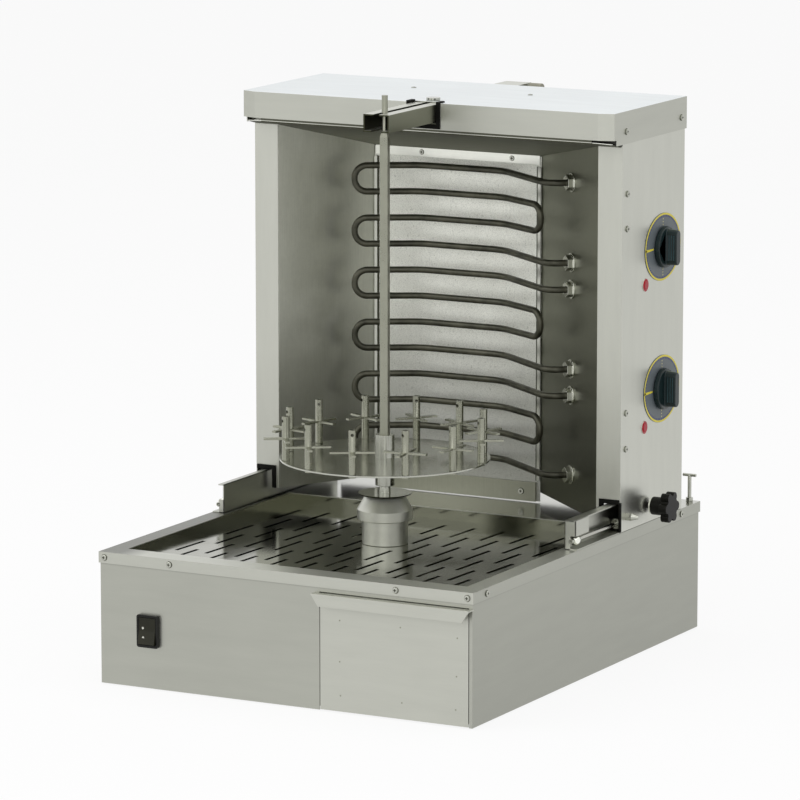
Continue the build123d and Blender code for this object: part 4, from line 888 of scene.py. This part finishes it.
# The two pale marks on the rocker lie on its tilted face
ROCKER_MARKS = [(-195.4 * MM, 78.0 * MM), (-194.0 * MM, 66.4 * MM)]
ROCKER_MARK_RADIUS = 1.5 * MM
ROCKER_MARK_PROUD, ROCKER_MARK_SUNK = 0.15 * MM, 0.3 * MM
BEFORE_THE_GRILL = -0.4
rocker_mesh = cad_mesh("switch_rocker")
rocker_faces = [tuple(face.vertices) for face in rocker_mesh.polygons]
rocker = BVHTree.FromPolygons([v.co for v in rocker_mesh.vertices], rocker_faces)
for number, (x, z) in enumerate(ROCKER_MARKS, 1):
    hit = rocker.ray_cast(Vector((x, BEFORE_THE_GRILL, z)), Vector((0, 1, 0)))[0]
    mark = front_discs([(x, z)], ROCKER_MARK_RADIUS, hit.y, ROCKER_MARK_PROUD, ROCKER_MARK_SUNK)
    add_shape(f"rocker_mark_{number}", mark, "mark_white", "rocker")

# The ceiling's front edge is folded up to the hood, with painted shade as dark bars under the fold and along
# its crease: (name, bottom, top, proud, sunk, finish), in millimetres
CEILING_LOW, CEILING_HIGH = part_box("ceiling_panel")
FOLD_INSET = 25 * MM
CEILING_FOLDS = [
    ("ceiling_front_fold", -2.0, 11.0, 0.6, 0.4, "fold_steel"),
    ("ceiling_fold_shadow", -1.9, -0.7, 0.8, 0.3, "dark_joint_and_shade"),
    ("ceiling_fold_rim", -0.6, 0.3, 1.0, 0.3, "fold_bright"),
    ("ceiling_fold_crease", 6.0, 6.6, 0.7, 0.3, "dark_joint_and_shade"),
]
for name, bottom, top, proud, sunk, finish in CEILING_FOLDS:
    fold = box_bars([(
        (CEILING_LOW[0] + FOLD_INSET, CEILING_LOW[1] - proud * MM, CEILING_HIGH[2] + bottom * MM),
        (CEILING_HIGH[0] - FOLD_INSET, CEILING_LOW[1] + sunk * MM, CEILING_HIGH[2] + top * MM),
    )])
    add_shape(name, fold, finish, "tower")

# Folded edges where the wings meet the reflector, each with a dark joint line beside it
SEAM_FACE = 211 * MM
SEAM_FOOT, SEAM_TOP = 196 * MM, 604 * MM
SEAM_FOLD_WIDTH = 4.5 * MM
SEAM_LINE_END = 6.2 * MM
SEAM_FOLD_PROUD, SEAM_LINE_PROUD = 1.4 * MM, 0.3 * MM
SEAM_FOLD_EDGE = 0.4


def upright_bar(edge, inwards, near, far, proud):
    """A bar up the reflector's side, between two distances from its edge."""
    start, end = sorted((edge + inwards * near, edge + inwards * far))
    return box_bars([((start, SEAM_FACE - proud, SEAM_FOOT), (end, SEAM_FACE, SEAM_TOP))])


for side, edge, inwards in (("left", -159 * MM, 1), ("right", 82.6 * MM, -1)):
    fold = upright_bar(edge, inwards, 0, SEAM_FOLD_WIDTH, SEAM_FOLD_PROUD)
    ease_edges(add_shape("reflector_fold_" + side, fold, "fold_bright", "tower"), SEAM_FOLD_EDGE)
    line = upright_bar(edge, inwards, SEAM_FOLD_WIDTH, SEAM_LINE_END, SEAM_LINE_PROUD)
    add_shape("reflector_joint_" + side, line, "dark_joint_and_shade", "tower")

# Black trim on the outer edge of the right leg's cut-out
TRIM_CORNERS = ((259.6 * MM, 76.6 * MM, 169.2 * MM), (262.3 * MM, 81.0 * MM, 207 * MM))
TRIM_EDGE = 0.5
trim = box_bars([TRIM_CORNERS])
ease_edges(add_shape("leg_edge_trim", trim, "black_rubber", "tower"), TRIM_EDGE)

# Domed nuts near the front ends of the guide rods: (y, radius) in millimetres
DOME = [(-33.6, 1.4), (-33.3, 3.4), (-32.3, 5.2), (-30.6, 6.3), (-28.4, 6.7), (-25.6, 6.7), (-25.0, 6.2)]
ROD_X, ROD_Z = 251 * MM, 178 * MM
NUT_STEPS = 28
dome = [(y * MM, radius * MM) for y, radius in DOME]
for side, x in (("left", -ROD_X), ("right", ROD_X)):
    add_shape("rod_nut_" + side, turned(1, dome, (x, ROD_Z), NUT_STEPS), "nut_steel", "base")

# Pale washer on the neck of the star knob
STAR_LOW, STAR_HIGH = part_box("clamp_star_knob")
STAR_AXIS = [(a + b) / 2 for a, b in zip(STAR_LOW, STAR_HIGH)][1:]
WASHER_START, WASHER_END = 265.9 * MM, 267.7 * MM
WASHER_INNER, WASHER_OUTER = 9.2 * MM, 10.4 * MM
WASHER_STEPS = 32
washer_profile = [
    (WASHER_START, WASHER_INNER), (WASHER_START, WASHER_OUTER),
    (WASHER_END, WASHER_OUTER), (WASHER_END, WASHER_INNER),
]
washer = turned(0, washer_profile, STAR_AXIS, WASHER_STEPS, hollow=True)
add_shape("star_knob_washer", washer, "bezel_pale", BODY_OF["clamp_star_knob"])

# Rails, each folded from one strip. The left one is open in front
# and the right one has a plate with a side return
(RAIL_EDGE, RAIL_FRONT, RAIL_FOOT), (_, RAIL_REAR, _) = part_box("rail_left")
RAIL_EDGE = abs(RAIL_EDGE)
RAIL_IN, RAIL_OUT = 242.5 * MM, 258 * MM
RAIL_SHEET = 1.5 * MM
RAIL_TOP = 204.6 * MM
ROD_LUG_EDGE, ROD_LUG_TOP = 250 * MM, 184.8 * MM
RAIL_RETURN = 37 * MM
FLANGES = {"left": 8.4 * MM, "right": 13 * MM}


def rail_boxes(side):
    """Foot, web, top flange, rear plate and rod lug of one rail; on the right also plate and return."""
    inner_web = RAIL_IN + RAIL_SHEET
    plate_rear = RAIL_FRONT + RAIL_SHEET
    top_under = RAIL_TOP - RAIL_SHEET
    parts = [
        (RAIL_IN, RAIL_EDGE, RAIL_FRONT, RAIL_REAR, RAIL_FOOT, RAIL_FOOT + RAIL_SHEET),
        (RAIL_IN, inner_web, RAIL_FRONT, RAIL_REAR, RAIL_FOOT, RAIL_TOP),
        (RAIL_IN, RAIL_IN + FLANGES[side], RAIL_FRONT, RAIL_REAR, top_under, RAIL_TOP),
        (RAIL_IN, RAIL_EDGE, RAIL_REAR - RAIL_SHEET, RAIL_REAR, RAIL_FOOT, RAIL_TOP),
        (RAIL_IN, ROD_LUG_EDGE, RAIL_FRONT, plate_rear, RAIL_FOOT, ROD_LUG_TOP),
    ]
    if side == "right":
        parts += [
            (RAIL_IN, RAIL_OUT, RAIL_FRONT, plate_rear, ROD_LUG_TOP, RAIL_TOP),
            (RAIL_OUT - RAIL_SHEET, RAIL_OUT, RAIL_FRONT, RAIL_FRONT + RAIL_RETURN, ROD_LUG_TOP, RAIL_TOP),
        ]
    towards = 1 if side == "right" else -1
    boxes = []
    for near, far, front, rear, low, high in parts:
        start, end = sorted((towards * near, towards * far))
        boxes.append(((start, front, low), (end, rear, high)))
    return boxes


for side in FLANGES:
    name = f"rail_{side}_dressed"
    mesh = finished_mesh(name, box_bars(rail_boxes(side)))
    mesh.materials.append(FINISHES["rail_steel"])
    bpy.data.objects[name].data = mesh

# The ceiling falls a little more steeply than its solid, so that its rear flange is lower
REAR_BEND = (618 * MM, 628 * MM)
BEND_DROP = 5 * MM
for vert in bpy.data.objects["ceiling_panel_dressed"].data.vertices:
    if REAR_BEND[0] < vert.co.z < REAR_BEND[1]:
        vert.co.z -= BEND_DROP


# Large soft lamps: (name, place, size in metres, power in watts)
LAMP_TARGET = Vector((0, 0, 0.3))
LAMPS = [
    ("lamp_left", (-2.2, -2.4, 2.6), 3.2, 41),
    ("lamp_front", (1.2, -3.2, 1.8), 2.4, 16),
    ("lamp_top", (0.2, 0.4, 3.4), 3.2, 32),
]
for name, place, size, power in LAMPS:
    lamp = bpy.data.lights.new(name, "AREA")
    lamp.size = size
    lamp.energy = power
    holder = bpy.data.objects.new(name, lamp)
    holder.location = place
    holder.rotation_euler = (LAMP_TARGET - Vector(place)).to_track_quat("-Z", "Y").to_euler()
    bpy.context.scene.collection.objects.link(holder)

WHITE = (1, 1, 1, 1)
WORLD_LIGHT = 0.6
FLOOR_SHADES = ((0.86, 0.86, 0.86, 1), (0.9, 0.9, 0.9, 1))
FLOOR_GLOW = 0.88
FLOOR_SIZE = 30


def seen_directly(paint):
    """1 for rays from the camera, mirrored in metal or passing through glass, otherwise 0."""
    camera_ray = paint.node("LightPath", output="Is Camera Ray")
    glossy_ray = paint.node("LightPath", output="Is Glossy Ray")
    through_ray = paint.node("LightPath", output="Is Transmission Ray")
    both = paint.node("Math", {"operation": "MAXIMUM"}, {0: camera_ray, 1: glossy_ray})
    return paint.node("Math", {"operation": "MAXIMUM"}, {0: both, 1: through_ray})


def studio_world():
    """Pale surroundings: white for the camera and for reflections, a little dimmer as light."""
    world = bpy.data.worlds.new("studio")
    bpy.context.scene.world = world
    paint = Paint("studio", world)
    seen = seen_directly(paint)
    light = paint.node("Background", {}, {"Color": WHITE, "Strength": WORLD_LIGHT})
    white = paint.node("Background", {}, {"Color": WHITE, "Strength": 1.0})
    mixed = paint.node("MixShader", {}, {0: seen, 1: light, 2: white})
    paint.node("OutputWorld", {}, {"Surface": mixed})


def studio_floor():
    """A pale floor that stays near white for the camera and keeps the grill's shadow."""
    paint = Paint("floor_white")
    uneven = paint.noise(2, (1, 1, 1), 2)
    tone = paint.blend(uneven, *FLOOR_SHADES)
    matt = paint.node("BsdfPrincipled", {}, {"Base Color": tone, "Roughness": 0.9})
    glow = paint.node("Emission", {}, {"Color": WHITE, "Strength": 1.0})
    mixed = paint.node("MixShader", {}, {0: seen_directly(paint) * FLOOR_GLOW, 1: matt, 2: glow})
    paint.node("OutputMaterial", {}, {"Surface": mixed})
    shape = bmesh.new()
    bmesh.ops.create_grid(shape, x_segments=1, y_segments=1, size=FLOOR_SIZE)
    mesh = finished_mesh("floor", shape)
    mesh.materials.append(paint.material)
    floor = bpy.data.objects.new("floor", mesh)
    bpy.context.scene.collection.objects.link(floor)


studio_world()
studio_floor()
bpy.context.scene.view_settings.view_transform = "Standard"
